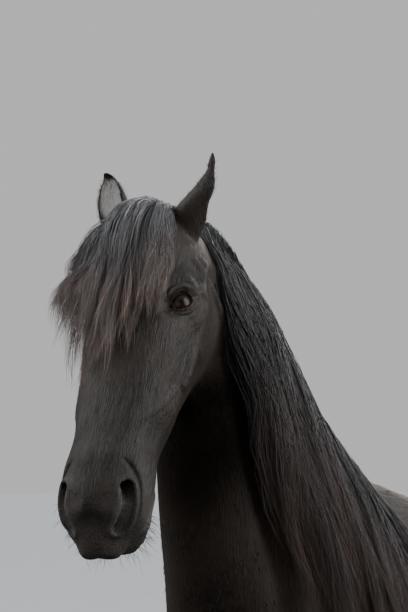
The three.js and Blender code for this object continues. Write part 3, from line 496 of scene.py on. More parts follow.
HINDLEG = [
    [-745, 1330, -1040, 1340, 60, 90, 60, 1, 150],
    [-722, 1220, -1110, 1240, 86, 128, 86, 1, 168],
    [-722, 1110, -1130, 1145, 92, 136, 92, 1, 172],
    [-738, 1020, -1118, 1060, 88, 126, 84, 1, 166],
    [-762, 940, -1094, 970, 78, 110, 74, 1, 159],
    [-808, 850, -1076, 880, 66, 90, 60, 1, 152],
    [-862, 770, -1074, 800, 55, 71, 49, 1, 146],
    [-916, 690, -1098, 725, 47, 56, 38, 1, 141],
    [-964, 620, -1150, 650, 45, 50, 32, 0.95, 138],
    [-994, 560, -1144, 585, 51, 55, 35, 0.9, 136],
    [-1013, 495, -1124, 505, 43, 47, 33, 0.9, 134],
    [-1026, 420, -1112, 425, 35, 38, 29, 0.95, 132],
    [-1030, 340, -1110, 340, 34, 36, 29, 0.95, 131],
    [-1028, 285, -1114, 280, 36, 38, 31, 0.95, 130],
    [-1013, 235, -1126, 225, 45, 48, 39, 0.95, 130],
    [-998, 188, -1110, 180, 41, 44, 36, 0.95, 130],
    [-973, 142, -1086, 130, 43, 48, 41, 0.95, 130],
    [-946, HOOF_TOP, -1066, 84, 55, 62, 54, 0.95, 130],
]
LEGS = {"fore": FORELEG, "hind": HINDLEG}
# along the dock: centre x, z and radius
DOCK = [
    [-1030, 1440, 40],
    [-1100, 1446, 38],
    [-1160, 1432, 36],
    [-1204, 1390, 33],
    [-1227, 1320, 28],
    [-1235, 1240, 22],
    [-1237, 1160, 12],
]
DOCK_WIDER = 1.2


def stride_at(end, side, z):
    """How far a leg's step carries it forward at a height."""
    return STRIDES[end, side] * np.clip((1000 - np.asarray(z, float)) / 1000, 0, 1)


def on_leg(rows, end, side):
    """Rows of a standing left leg or hoof, moved by the leg's step and to its side."""
    rows = np.array(rows, float)
    rows[:, [0, 2]] += stride_at(end, side, rows[:, 1])[:, None]
    rows[:, 8] *= side
    return rows


def leg_grid(end, side, around=48, rings=160):
    return loft(on_leg(LEGS[end], end, side), around, rings)


def trunk_grid(around=120, rings=220):
    return swelled(loft(TRUNK, around, rings), TRUNK_SWELLS)


def head_grid(around=120, rings=180):
    return swelled(loft(HEAD, around, rings), HEAD_SWELLS)


def dock_grid(around=24, rings=60):
    """The tail's own flesh, a bar in the middle plane, a little wider than it is deep."""
    x, z, radius = along(DOCK, np.linspace(0, 1, rings)).T
    centres = np.stack([x, x * 0, z], axis=1)
    way = unit(np.gradient(centres, axis=0))
    back = np.stack([way[:, 2], np.zeros(len(way)), -way[:, 0]], axis=1)
    angle = turns(around)[:, None]
    radius = (radius - COAT_DEPTH)[:, None, None]
    rim = np.cos(angle) * radius * back[:, None] + np.sin(angle) * radius * DOCK_WIDER * SIDEWAYS
    return centres[:, None] + rim


# ---------------------------------------------------------------- one skin
VOXEL = 9.0
BAND = 6  # voxels on each side of a surface whose distance is known
BLENDS = {"leg": 46.0, "head": 34.0, "dock": 22.0}  # how softly each part runs into the trunk
SKIN_BOX = np.array([[-1330.0, -430.0, 60.0], [1150.0, 540.0, 2200.0]])


def distances(points, triangles):
    """The signed distance to a closed surface, in every voxel of the skin's box."""
    grid = openvdb.FloatGrid.createLevelSetFromPolygons(
        (points / VOXEL).astype(np.float32), triangles=triangles.astype(np.uint32), halfWidth=BAND
    )
    low, high = np.round(SKIN_BOX / VOXEL).astype(int)
    values = np.empty(high - low, np.float32)
    grid.copyToArray(values, ijk=tuple(int(v) for v in low))
    return values * VOXEL


def joined_softly(a, b, reach):
    """The union of two signed distances, with the crease between them filled out over this reach."""
    near = np.maximum(reach - np.abs(a - b), 0) / reach
    return np.minimum(a, b) - near * near * reach / 4


def surface_of(values):
    """Points and triangles where a signed distance is 0."""
    grid = openvdb.FloatGrid(float(BAND * VOXEL))
    low = np.round(SKIN_BOX[0] / VOXEL).astype(int)
    grid.copyFromArray(values, ijk=tuple(int(v) for v in low))
    grid.gridClass = openvdb.GridClass.LEVEL_SET
    points, quads = grid.convertToQuads(0.0)
    triangles = np.concatenate([quads[:, [0, 1, 2]], quads[:, [0, 2, 3]]])[:, ::-1].astype(np.int64)
    return points.astype(float) * VOXEL, triangles


def flesh():
    """The whole body as one closed surface, in the horse's own frame."""
    points, triangles = closed(trunk_grid())
    body = distances(bent(points), triangles)
    for end, side in STRIDES:
        body = joined_softly(body, distances(*closed(leg_grid(end, side))), BLENDS["leg"])
    points, triangles = closed(head_grid())
    body = joined_softly(body, distances(from_head(points), triangles), BLENDS["head"])
    body = joined_softly(body, distances(*closed(dock_grid())), BLENDS["dock"])
    points, triangles = surface_of(body)
    return smoothed(points, triangles, 3), triangles


# ---------------------------------------------------------------- relief
def unbent(points):
    """What bent() started from."""
    low, high, turn = NECK_BEND["from"], NECK_BEND["to"], NECK_BEND["turn"]
    radius = (high - low) / turn
    x, y, z = points.T
    dx, dy = x - low, y - radius
    angle = np.arctan2(dx, -dy)
    past = dx * math.cos(turn) + dy * math.sin(turn)
    from_middle = dx * math.sin(turn) - dy * math.cos(turn)
    straight = np.stack([high + past, radius - from_middle, z], axis=1)
    curved = np.stack([low + angle / turn * (high - low), radius - np.hypot(dx, dy), z], axis=1)
    return np.where((x > low)[:, None], np.where((angle > turn)[:, None], straight, curved), points)


def near_line(points, line, radius):
    """1 along a smooth line, falling to 0 over the radius and towards the line's ends."""
    line = along(line, np.linspace(0, 1, 7 * len(line)))
    best = np.full(len(points), 1e9)
    share = np.zeros(len(points))
    for i, (a, b) in enumerate(zip(line[:-1], line[1:])):
        t = np.clip((points - a) @ (b - a) / ((b - a) @ (b - a)), 0, 1)
        gap = np.linalg.norm(points - a - t[:, None] * (b - a), axis=1)
        closer = gap < best
        best[closer] = gap[closer]
        share[closer] = (i + t[closer]) / (len(line) - 1)
    return bell(best / radius) * step_between(np.minimum(share, 1 - share), -0.03, 0.22)


# lines in the side view, x and z, with a radius and a height: muscles and bones are raised, grooves sunk
BODY_LINES = [
    ([(575, 1810), (510, 1560), (462, 1330), (410, 1210)], 17, -8),  # groove of the jugular vein
    ([(560, 1900), (430, 1640), (360, 1420), (345, 1240)], 26, 6),  # muscle before the shoulder
    ([(30, 1500), (140, 1340), (262, 1190)], 20, 6),  # ridge of the shoulder blade
    ([(100, 1520), (235, 1370), (318, 1240)], 18, -5),  # groove before it
    ([(-80, 1340), (-40, 1180), (50, 1055)], 24, 7),  # rear edge of the upper arm
    ([(-125, 1250), (-110, 1100), (-60, 990)], 22, -7),  # hollow behind the elbow
    ([(-560, 985), (-660, 1075), (-715, 1190)], 26, 8),  # fold of the flank
    ([(-745, 1450), (-770, 1300), (-800, 1130)], 34, 6),  # front of the thigh
    ([(-1015, 1490), (-1066, 1310), (-1046, 1120)], 15, -7),  # groove down the buttock
    ([(-925, 1430), (-985, 1270), (-1000, 1110)], 15, -4),  # groove down the thigh
    ([(-890, 985), (-945, 850), (-985, 750)], 12, -5),  # groove of the gaskin
    ([(-150, 1512), (-450, 1500), (-700, 1540)], 20, -4),  # edge of the loin
    ([(-190, 1300), (-205, 1180), (-190, 1040)], 15, 1.6),  # ribs
    ([(-275, 1330), (-292, 1190), (-280, 1030)], 15, 1.8),
    ([(-360, 1350), (-380, 1200), (-370, 1030)], 15, 1.8),
    ([(-445, 1350), (-468, 1210), (-462, 1040)], 15, 1.6),
    ([(-530, 1350), (-553, 1220), (-550, 1060)], 15, 1.4),
]
LEG_LINES = {
    "fore": [
        ([(232, 1010), (212, 820), (196, 610)], 13, -5),  # between the forearm's muscles
        ([(150, 960), (150, 780), (158, 600)], 12, -3),
        ([(172, 415), (164, 340), (168, 262)], 8, -6),  # between the cannon bone and its tendons
        ([(143, 400), (139, 340), (138, 280)], 5, -2.5),
        ([(190, 505), (160, 498), (140, 500)], 7, -2),  # joints of the knee
        ([(228, 462), (190, 458), (150, 462)], 7, -3),
        ([(216, 520), (200, 470), (206, 425)], 14, 3),
        ([(190, 175), (200, 150), (206, 125)], 14, -3),  # pastern
    ],
    "hind": [
        ([(-1010, 860), (-1048, 780), (-1070, 722)], 15, -10),  # hollow before the hock's tendon
        ([(-1080, 640), (-1084, 600), (-1072, 560)], 16, -4),  # joints of the hock
        ([(-1000, 640), (-1030, 600), (-1040, 550)], 16, 4),
        ([(-1062, 490), (-1068, 400), (-1066, 290)], 8, -6),  # between the cannon bone and its tendons
        ([(-1092, 460), (-1094, 390), (-1092, 310)], 5, -2.5),
        ([(-1045, 175), (-1036, 150), (-1030, 125)], 14, -3),
    ],
}
# at x, y, z of the left leg, radii, push
LEG_SWELLS = {
    "fore": [
        [112, 126, 502, 18, 26, 26, -10, 0, 0],  # bone behind the knee
        [112, 122, 226, 22, 34, 24, -8, 0, 0],  # back of the fetlock
        [208, 122, 226, 26, 40, 22, 2, 5, 0],
        [60, 160, 1010, 40, 40, 40, -14, 4, 0],  # elbow
    ],
    "hind": [
        [-1150, 138, 668, 26, 26, 30, -9, 0, 6],  # point of the hock
        [-1124, 130, 228, 22, 34, 24, -8, 0, 0],  # back of the fetlock
        [-1030, 130, 228, 26, 40, 22, 2, 5, 0],
        [-1040, 136, 548, 40, 30, 26, 0, 4, 0],
    ],
}


# along x, the relief of a pair of legs ends LEG_REACH from its middle
LEG_MIDDLES = {"fore": 200.0, "hind": -800.0}
LEG_REACH = 420.0


def leg_of(points):
    """Each point's place on a still-standing left leg, for the fore and for the hind pair."""
    places = {}
    for end in ("fore", "hind"):
        left = points[:, 1] > 0
        stride = np.where(left, stride_at(end, 1, points[:, 2]), stride_at(end, -1, points[:, 2]))
        places[end] = np.stack([points[:, 0] - stride, np.abs(points[:, 1]), points[:, 2]], axis=1)
    return places


def body_relief(points, triangles):
    normals = normals_of(points, triangles)
    flat = unbent(points)
    height = np.zeros(len(points))
    off_head = 1 - step_between(to_head(points)[:, 0], -60, 0) * step_between(flat[:, 0], 520, 620)
    for line, radius, rise in BODY_LINES:
        height += rise * near_line(flat[:, [0, 2]], line, radius) * off_head
    moved = points.copy()
    for end, places in leg_of(points).items():
        beside = step_between(places[:, 1], 40, 80) * (np.abs(places[:, 0] - LEG_MIDDLES[end]) < LEG_REACH)
        for line, radius, rise in LEG_LINES[end]:
            height += rise * near_line(places[:, [0, 2]], line, radius) * beside
        for row in LEG_SWELLS[end]:
            push = np.where(points[:, 1:2] < 0, (1, -1, 1), 1) * row[6:]
            moved += near(places, row[:3], row[3:6])[:, None] * push
    return moved + normals * (height * np.abs(normals[:, 1]) ** 0.7)[:, None]


# in the head's frame, on its left: at x, y, z, radii, height
FACE_BUMPS = [
    [107, 82, -43, 16, 16, 16, -5],  # hollow above the brow
    [156, 88, -38, 17, 16, 15, 6],  # brow
    [122, 95, -63, 11, 14, 11, -4],  # notch behind the eye
    [70, 84, -96, 22, 30, 22, 5],  # joint of the jaw
    [339, 80, -62, 12, 12, 12, -2],  # pit at the end of the facial crest
    [245, 95, -116, 16, 18, 16, 3],  # front of the cheek's muscle
    [378, 78, -74, 24, 18, 16, 3],  # cheek's thin muscle before it
    [432, 70, -50, 40, 24, 20, -3],  # slope of the nose
    [497, 16, -9, 22, 22, 16, 3],  # gristle above the nostrils
    [560, 0, -170, 26, 30, 16, 6],  # chin
    [522, 0, -164, 16, 40, 16, -6],  # behind the chin
    [614, 20, -88, 20, 16, 16, 3],  # upper lip's two halves
    [592, 0, -30, 34, 12, 24, -3],  # between the nostrils
    [575, 42, -112, 34, 26, 14, 3],  # upper lip's side
    [560, 40, -140, 30, 26, 12, 3],  # lower lip's side
    [270, 60, -232, 40, 30, 24, -3],  # where the vein crosses the jaw
]
FACE_LINES = [
    # over the facial crest
    ([(215, 96, -68), (228, 97, -74), (277, 92, -71), (319, 87, -71), (339, 82, -62)], 11, -2.2),
    ([(240, 98, -88), (300, 95, -88), (336, 88, -87)], 12, 4.5),  # facial crest
    ([(245, 100, -108), (300, 97, -112), (345, 84, -117)], 10, -3),  # under it
    ([(164, 100, -66), (120, 96, -76), (70, 84, -84)], 11, 6),  # bone behind the eye
    ([(89, 82, -54), (105, 95, -72)], 6, 5),  # temple
    ([(296, 94, -92), (318, 90, -130), (306, 74, -205)], 6, 2.2),  # facial vein
    ([(330, 84, -80), (375, 74, -56), (425, 62, -30)], 5, 1.5),
    ([(150, 104, -122), (215, 108, -124), (280, 100, -126)], 6, 1.6),
    ([(250, 64, -8), (360, 50, -6), (470, 38, -6)], 13, 2.5),  # edge of the nose bone
    ([(264, 82, -40), (370, 62, -20), (500, 32, -6)], 7, 2),  # sinew to the upper lip
    ([(345, 84, -94), (420, 74, -80), (505, 72, -68)], 12, 2.2),  # muscles of the nostril
    ([(350, 78, -128), (430, 60, -120), (500, 60, -112)], 12, 2),  # muscle to the mouth's corner
    ([(360, 70, -150), (430, 52, -140), (490, 50, -134)], 12, -2),
    ([(230, 52, -256), (340, 44, -208), (470, 34, -166)], 13, 3),  # lower edge of the jaw
    # rear edge of the cheek
    ([(96, 92, -92), (112, 97, -122), (122, 102, -159), (142, 103, -188), (166, 100, -212)], 8, 7),
    ([(92, 92, -125), (98, 94, -168), (120, 92, -206), (148, 86, -236)], 11, -14),  # hollow behind it
]


def face_relief(points, triangles):
    """Bones, muscles and veins of the head."""
    normals = normals_of(points, triangles)
    face = mirrored(to_head(points))
    chosen = (face[:, 0] > 20) & (face[:, 2] > -330) & (face[:, 2] < 120)
    height = np.zeros(len(points))
    for x, y, z, rx, ry, rz, rise in FACE_BUMPS:
        height[chosen] += rise * near(face[chosen], (x, y, z), (rx, ry, rz))
    for line, radius, rise in FACE_LINES:
        height[chosen] += rise * near_line(face[chosen], line, radius)
    return points + normals * height[:, None]


# ---------------------------------------------------------------- eyes' lids
LID = {
    "out": (0.10, 0.65, 0.75),  # the way the opening looks, in the head's frame
    "to_rear_corner": (-0.70, 0.43, -0.567),
    "half_long": 21.5,
    "upper": 12.5,
    "lower": 13.0,
    "pointed": 1.75,
    "reach": 15.0,
    "near": 62.0,
}
SNAP = 0.7  # points this near the edge of an opening are moved onto it
# how thick the upper and the lower lid are, and how steeply each falls away from its edge
LID_EDGES = {"upper": (4.6, 0.10), "lower": (3.4, 0.35)}
LID_ROLL = 3.0  # how far the roll of skin over the upper lid stands out
EYE_AT = np.array(EYE["at"])
LID_AXES = axes_of(LID["to_rear_corner"], LID["out"])
LID_UP, LID_OUT = LID_AXES[:, 1], LID_AXES[:, 2]
# grooves round the opening: distance from it, radius, depth, and 1 above it or -1 below it
LID_FOLDS = [(5.2, 1.4, 2.6, 1), (17.0, 2.2, 1.2, 1), (6.0, 1.4, 1.7, -1), (12.0, 2.0, 1.2, -1)]


def from_lids(a, b):
    """How far outside the eye's opening a point of its plane is."""
    high = np.where(b > 0, LID["upper"], LID["lower"])
    power = LID["pointed"]
    round_share = (np.abs(a / LID["half_long"]) ** power + np.abs(b / high) ** power) ** (1 / power)
    return (round_share - 1) * np.hypot(a, b) / np.maximum(round_share, 1e-3)


def with_lids(face):
    """Wraps the skin round the left eyeball and opens it between the lids, in the head's frame."""
    eye = (face - EYE_AT) @ LID_AXES
    close = (np.linalg.norm(face - EYE_AT, axis=1) < LID["near"]) & (eye[:, 2] > 0)
    a, b, c = eye[close].T
    gap = from_lids(a, b)
    step = 0.05
    slope_a = (from_lids(a + step, b) - gap) / step
    slope_b = (from_lids(a, b + step) - gap) / step
    steep = np.maximum(slope_a**2 + slope_b**2, 0.05)
    snap = np.where(np.abs(gap) < SNAP, gap, 0) / steep
    a, b = a - slope_a * snap, b - slope_b * snap
    gap = from_lids(a, b)
    ball = np.sqrt(np.maximum(EYE["radius"] ** 2 - a * a - b * b, 0))
    margin = np.sqrt(np.maximum(EYE["radius"] ** 2 - (np.hypot(a, b) - gap) ** 2, 0))
    above = step_between(b, -4, 4)
    thick, drop = (low + (high - low) * above for high, low in zip(LID_EDGES["upper"], LID_EDGES["lower"]))
    rounded = 0.5 + (thick - 0.5) * np.clip(gap / 2.4, 0, 1) ** 0.5
    weight = bell(np.maximum(gap - 2, 0) / LID["reach"])
    outside = c + (margin + rounded - drop * gap - c) * weight
    roll = bell((gap - 11) / 5) * step_between(LID["half_long"] + 8 - np.abs(a), 0, 14)
    outside += LID_ROLL * above * roll
    for far, radius, depth, way in LID_FOLDS:
        fade = step_between(way * b, -4, 4) * step_between(LID["half_long"] + far - np.abs(a), 0, 12)
        outside -= depth * bell((gap - far) / radius) * fade
        outside += 0.6 * depth * bell((gap - far + 3.2) / 2.4) * fade
    caruncle = step_between(-a, LID["half_long"] - 8, LID["half_long"] - 4)
    inside = ball + caruncle * 1.6 - 5 * np.clip(-gap / 1.6, 0, 1) * (1 - caruncle)
    c = np.where(gap > 0.02, outside, inside)
    face[close] = np.stack([a, b, c], axis=1) @ LID_AXES.T + EYE_AT
    return face


# ---------------------------------------------------------------- nostrils and mouth
# The nostril is a slanting comma, wide at its lower end. Its opening, and the groove behind its wing, are
# lines seen from outside in the nostril's own plane, down it and towards the wing.
NOSTRIL = {
    "at": (570.0, 49.0, -36.0),
    "out": (0.42, 0.63, 0.65),
    "down": (0.62, 0.12, -0.70),
    "hole": [(-29, 3), (-33, 11), (-31, 20), (-22, 24), (-8, 21), (7, 15), (20, 7), (31, -3), (38, -15),
             (38, -26), (30, -29), (21, -22), (10, -14), (-2, -6), (-15, -1)],
    "groove": [(-66, 24), (-50, 32), (-26, 35), (-5, 30), (21, 18), (40, 3)],
    "deep": 34.0,
}
NOSTRIL_AT = np.array(NOSTRIL["at"])
NOSTRIL_AXES = axes_of(NOSTRIL["down"], NOSTRIL["out"])
NOSTRIL_WAY_IN = unit(np.array([-0.62, -0.34, -0.45]))  # in the head's frame


def round_line(corners, count):
    """A smooth closed line through corners."""
    rows = np.array(corners + corners[:3], float)
    share = (1 + np.arange(count) / count * len(corners)) / (len(rows) - 1)
    return along(rows, share)


def signed_gap(points, line):
    """How far points are outside a closed line of the plane, and where on it each is nearest."""
    a, b = line, np.roll(line, -1, axis=0)
    way = b - a
    t = np.einsum("pij,ij->pi", points[:, None] - a, way) / (way**2).sum(axis=1)
    spot = a + np.clip(t, 0, 1)[..., None] * way
    gaps = np.linalg.norm(points[:, None] - spot, axis=2)
    best = gaps.argmin(axis=1)
    rows = np.arange(len(points))
    crosses = (a[:, 1] > points[:, None, 1]) != (b[:, 1] > points[:, None, 1])
    level = a[:, 0] + (points[:, None, 1] - a[:, 1]) / np.where(way[:, 1] == 0, 1e-9, way[:, 1]) * way[:, 0]
    inside = (crosses & (points[:, None, 0] < level)).sum(axis=1) % 2 == 1
    return np.where(inside, -1, 1) * gaps[rows, best], spot[rows, best]


def nostril_place(points):
    """Where points are in the left nostril's plane, how far from it, and how much on the side of its wing."""
    local = (points - NOSTRIL_AT) @ NOSTRIL_AXES
    wing = step_between(0.5 * (local[:, 0] - 3) + 0.87 * (local[:, 1] + 3), -6, 7)
    return local, wing


def with_nostrils(face):
    """Raises the left nostril's rim and sinks the skin inside it, in the head's frame."""
    local, wing = nostril_place(face)
    close = (np.abs(local[:, 2]) < 45) & (np.hypot(local[:, 0], local[:, 1]) < 85) & (face[:, 1] > 1)
    flat, level, wing = local[close, :2], local[close, 2], wing[close]
    gap, spot = signed_gap(flat, round_line(NOSTRIL["hole"], 90))
    snap = np.abs(gap) < SNAP
    flat[snap] = spot[snap]
    gap[snap] = 0
    fade = step_between(face[close, 1], 3, 16)
    rise = 3.4 * (1 - wing) * bell((gap - 1.6) / 4.4) + 4.4 * wing * bell((gap - 4) / 4.2)
    rise -= 4.4 * near_line(flat, NOSTRIL["groove"], 4.0)
    rise -= 2.6 * bell(np.hypot(flat[:, 0] + 16, flat[:, 1] + 24) / 13)
    local[close] = np.stack([flat[:, 0], flat[:, 1], level + rise * fade], axis=1)
    moved = local @ NOSTRIL_AXES.T + NOSTRIL_AT
    sunk = np.clip(-gap / (6 + 7 * wing), 0, 1)
    deep = NOSTRIL["deep"] * (1 - 0.74 * step_between(flat[:, 0] - 0.4 * flat[:, 1], -30, 4))
    moved[close] += NOSTRIL_WAY_IN * (deep * np.sin(sunk * np.pi / 2))[:, None]
    return np.where(close[:, None], moved, face)


# The lips' line runs round a place along the face, at a depth. It drops towards its corners, half a mouth
# from the middle, and rises in a notch in front. back is how far the lower lip sits behind the upper one.
MOUTH = {
    "along": 524.0,
    "deep": -98.0,
    "corner": math.radians(104),
    "half": 66.0,
    "drop": 14.0,
    "notch": 6.0,
    "back": 8.0,
}


def from_mouth(face):
    """Points of the head's frame: the angle round the lips from their front, and how far above their line."""
    angle = np.abs(np.arctan2(face[:, 1], face[:, 0] - MOUTH["along"]))
    level = MOUTH["deep"] - MOUTH["drop"] * (angle / MOUTH["corner"]) ** 1.5
    level += MOUTH["notch"] * bell(face[:, 1] / 7) * (angle < 1)
    return angle, face[:, 2] - level


def with_mouth(points, triangles):
    """The line between the lips, their rounded edges, and a few folds behind the corner."""
    normals = normals_of(points, triangles)
    face = to_head(points)
    angle, gap = from_mouth(face)
    muzzle = (face[:, 0] > 470) & (np.abs(face[:, 1]) < 130)
    far = step_between(MOUTH["corner"] + 0.03 - angle, 0, 0.12) * muzzle
    height = far * (-6.5 * bell(gap / 1.9) + 2.8 * bell((gap - 7) / 5) + 2.0 * bell((gap + 7) / 5))
    spread = np.abs(np.abs(face[:, 1]) - MOUTH["half"])
    rear = step_between(500 - face[:, 0], -6, 10) * (spread < 40) * (face[:, 0] > 440)
    for k, depth in enumerate((1.6, 1.2, 0.8)):
        behind = np.hypot(face[:, 0] - 512, (gap + 2) * 0.8) - (12 + 8 * k)
        height -= depth * bell(behind / 2.2) * rear * step_between(30 - np.abs(gap), 0, 14)
    back = step_between(-gap, 0, 3) * bell(gap / 44) * (1 - step_between(angle, 0.7, 1.6)) * far
    return points + normals * height[:, None] - np.outer(MOUTH["back"] * back, HEAD_AXES[:, 0])


# ---------------------------------------------------------------- ears
EAR_AHEAD = np.array([0.515, 0.0, 0.857])  # level and forward, in the head's frame
# The left ear is turned out and back, the right one pricked forward. Each has its base, the way up to its
# tip, how far round its cup faces from straight ahead, the share of its length up to which pale down lines
# it, and rows of share of its length, half width, half depth, half opening in degrees, wall, and how far it
# bows outwards.
EARS = {
    1: {
        "base": (22.0, 60.0, -52.0),
        "up": (-106.0, 50.0, 69.0),
        "faces": math.radians(118),
        "lined": 0.72,
        "rows": [
            [-0.22, 27, 27, 8, 9, 0],
            [0.0, 31, 32, 30, 9, 0],
            [0.25, 33, 36, 56, 7.5, 0],
            [0.5, 26, 27, 63, 6, 10],
            [0.75, 12, 10.5, 62, 4.5, 9],
            [0.87, 9.4, 8.4, 50, 4.5, 5.6],
            [0.95, 5.8, 5.6, 36, 3.6, 2.4],
            [1.0, 3.0, 3.0, 24, 2.2, 0.4],
        ],
    },
    -1: {
        "base": (22.0, 62.0, -52.0),
        "up": (-111.0, 38.0, 43.0),
        "faces": math.radians(8),
        "lined": 0.93,
        "rows": [
            [-0.22, 26, 26, 8, 9, 0],
            [0.0, 31, 29, 20, 9, 0],
            [0.25, 33, 29, 44, 7.5, 1],
            [0.5, 30, 24, 58, 6, 0],
            [0.75, 22, 18, 66, 5, -4],
            [0.87, 14, 12.5, 68, 4.5, -6],
            [0.95, 10, 9, 70, 4, -4.5],
            [1.0, 4.5, 4.5, 70, 2.6, -1],
        ],
    },
}


def ear_point(share, angle, wide, deep, bow, ear):
    """A place round the cup of one ear, mirrored to the left, in the head's frame."""
    u, v = np.cos(angle) * deep, np.sin(angle) * wide
    c, s = math.cos(ear["faces"]), math.sin(ear["faces"])
    middle = np.array(ear["base"]) + share[..., None] * np.array(ear["up"])
    return middle + (u * c - v * s)[..., None] * EAR_AHEAD + (u * s + v * c + bow)[..., None] * SIDEWAYS


def ear_rings(side, arc=30, rings=46):
    """The ear's outside, and its inside, as rows of points from one edge of the cup to the other."""
    ear = EARS[side]
    share, wide, deep, half, wall, bow = (v[:, None] for v in along(ear["rows"], np.linspace(0, 1, rings)).T)
    opening = np.radians(half)
    angle = opening + (2 * np.pi - 2 * opening) * np.linspace(0, 1, arc)[None, :]
    share = np.broadcast_to(share, angle.shape)
    rim = np.abs(np.linspace(-1, 1, arc))[None, :] ** 6
    thin = wall * (1 - 0.45 * rim)
    outer = ear_point(share, angle, wide - COAT_DEPTH, deep - COAT_DEPTH, bow, ear)
    inner = ear_point(share, angle, np.maximum(wide - thin, 0.8), np.maximum(deep - thin, 0.8), bow, ear)
    return outer, inner


def cup_of(points, side):
    """Places in one ear: share of its length, degrees from its edge, how deep inside it, and its wall."""
    ear = EARS[side]
    face = to_head(points) * np.array([1, side, 1])
    up = np.array(ear["up"])
    off = face - np.array(ear["base"])
    across = np.cross(EAR_AHEAD, SIDEWAYS)
    share = (off @ across) / (up @ across)
    rows = np.array(ear["rows"])
    wide, deep, half, wall, bow = (np.interp(share, rows[:, 0], rows[:, k]) for k in range(1, 6))
    beside = off - share[:, None] * up
    ahead, out = beside @ EAR_AHEAD, beside[:, 1] - bow
    c, s = math.cos(ear["faces"]), math.sin(ear["faces"])
    u, v = (ahead * c + out * s) / deep, (out * c - ahead * s) / wide
    return share, np.degrees(np.abs(np.arctan2(v, u))) - half, (1 - np.hypot(u, v)) * wide, wall


def ear_mesh(side):
    outer, inner = ear_rings(side)
    ring = np.concatenate([outer, inner[:, ::-1]], axis=1)
    ring[..., 1] *= side
    return closed(from_head(ring))


def united(points, triangles, others):
    """One closed surface round several, by Blender's exact joining of solids."""
    main = new_mesh("skin", to_row(points), triangles)
    for k, (more, faces) in enumerate(others):
        part = new_mesh(f"joined_{k}", to_row(more), faces)
        join = main.modifiers.new(f"join_{k}", "BOOLEAN")
        join.operation = "UNION"
        join.solver = "MANIFOLD"
        join.object = part
    graph = bpy.context.evaluated_depsgraph_get()
    made = main.evaluated_get(graph).to_mesh()
    points, triangles = arrays_of(made)
    main.evaluated_get(graph).to_mesh_clear()
    for piece in [main] + [join.object for join in main.modifiers]:
        bpy.data.objects.remove(piece)
    return (points - SHIFT) / MM, triangles


def tree_of(points, triangles):
    return BVHTree.FromPolygons(points.tolist(), triangles.tolist())


EAR_BLEND = 9.0  # how wide the soft hollow round an ear's base is
FAR = 60.0  # gaps are measured up to here


def gap_to(tree, spot):
    gap = tree.find_nearest(spot, FAR)[3]
    return FAR if gap is None else gap


def with_ears(points, triangles):
    """Grows the ears from the head, with a soft hollow where they leave it."""
    ears = [ear_mesh(side) for side in SIDES.values()]
    head = tree_of(points, triangles)
    made, faces = united(points, triangles, ears)
    base = np.abs(EARS[1]["base"])
    close = np.flatnonzero(np.linalg.norm((np.abs(to_head(made)) - base) * (1, 1, 0.7), axis=1) < 75)
    trees = [tree_of(*ear) for ear in ears]
    weight = np.zeros(len(made))
    for i in close:
        spot = Vector(made[i])
        from_ear = min(gap_to(tree, spot) for tree in trees)
        weight[i] = bell(max(gap_to(head, spot), from_ear) / EAR_BLEND)
    return smoothed(made, faces, 14, weight * 0.6, keep_size=False), faces


# ---------------------------------------------------------------- the skin
def head_zone(points):
    """How fine the skin is wanted: 1 over the head, 2 on its face, 3 round the eyes, nostrils and mouth."""
    face = mirrored(to_head(points))
    x, y, z = face.T
    zone = ((x > -70) & (x < 700) & (z > -300) & (y < 160) & (z < 140)).astype(int)
    eye_gap = np.linalg.norm(face - EYE_AT, axis=1)
    zone[(eye_gap < 78) & (zone > 0)] = 2
    zone[(zone > 0) & (x > 470)] = 2
    zone[(zone > 0) & (x > 215) & (x < 370) & (y > 60) & (z > -140)] = 2
    nostril = np.linalg.norm(face - NOSTRIL_AT, axis=1) < 52
    mouth = (np.abs(from_mouth(face)[1]) < 9) & (x > 480) & (y < 130)
    zone[(zone > 0) & ((eye_gap < 38) | nostril | mouth)] = 3
    return zone


def make_skin():
    points, triangles = flesh()
    points = body_relief(points, triangles)
    for level in (1, 2, 3):
        zone = head_zone(points[triangles].mean(axis=1))
        points, triangles = refined(points, triangles, zone >= level)
        fresh = head_zone(points) >= level
        points = smoothed(points, triangles, 2, 0.5 * fresh)
        if level == 2:
            points = face_relief(points, triangles)
    points = on_left(points, with_lids)
    points = on_left(points, with_nostrils)
    points = with_mouth(points, triangles)
    return with_ears(points, triangles)


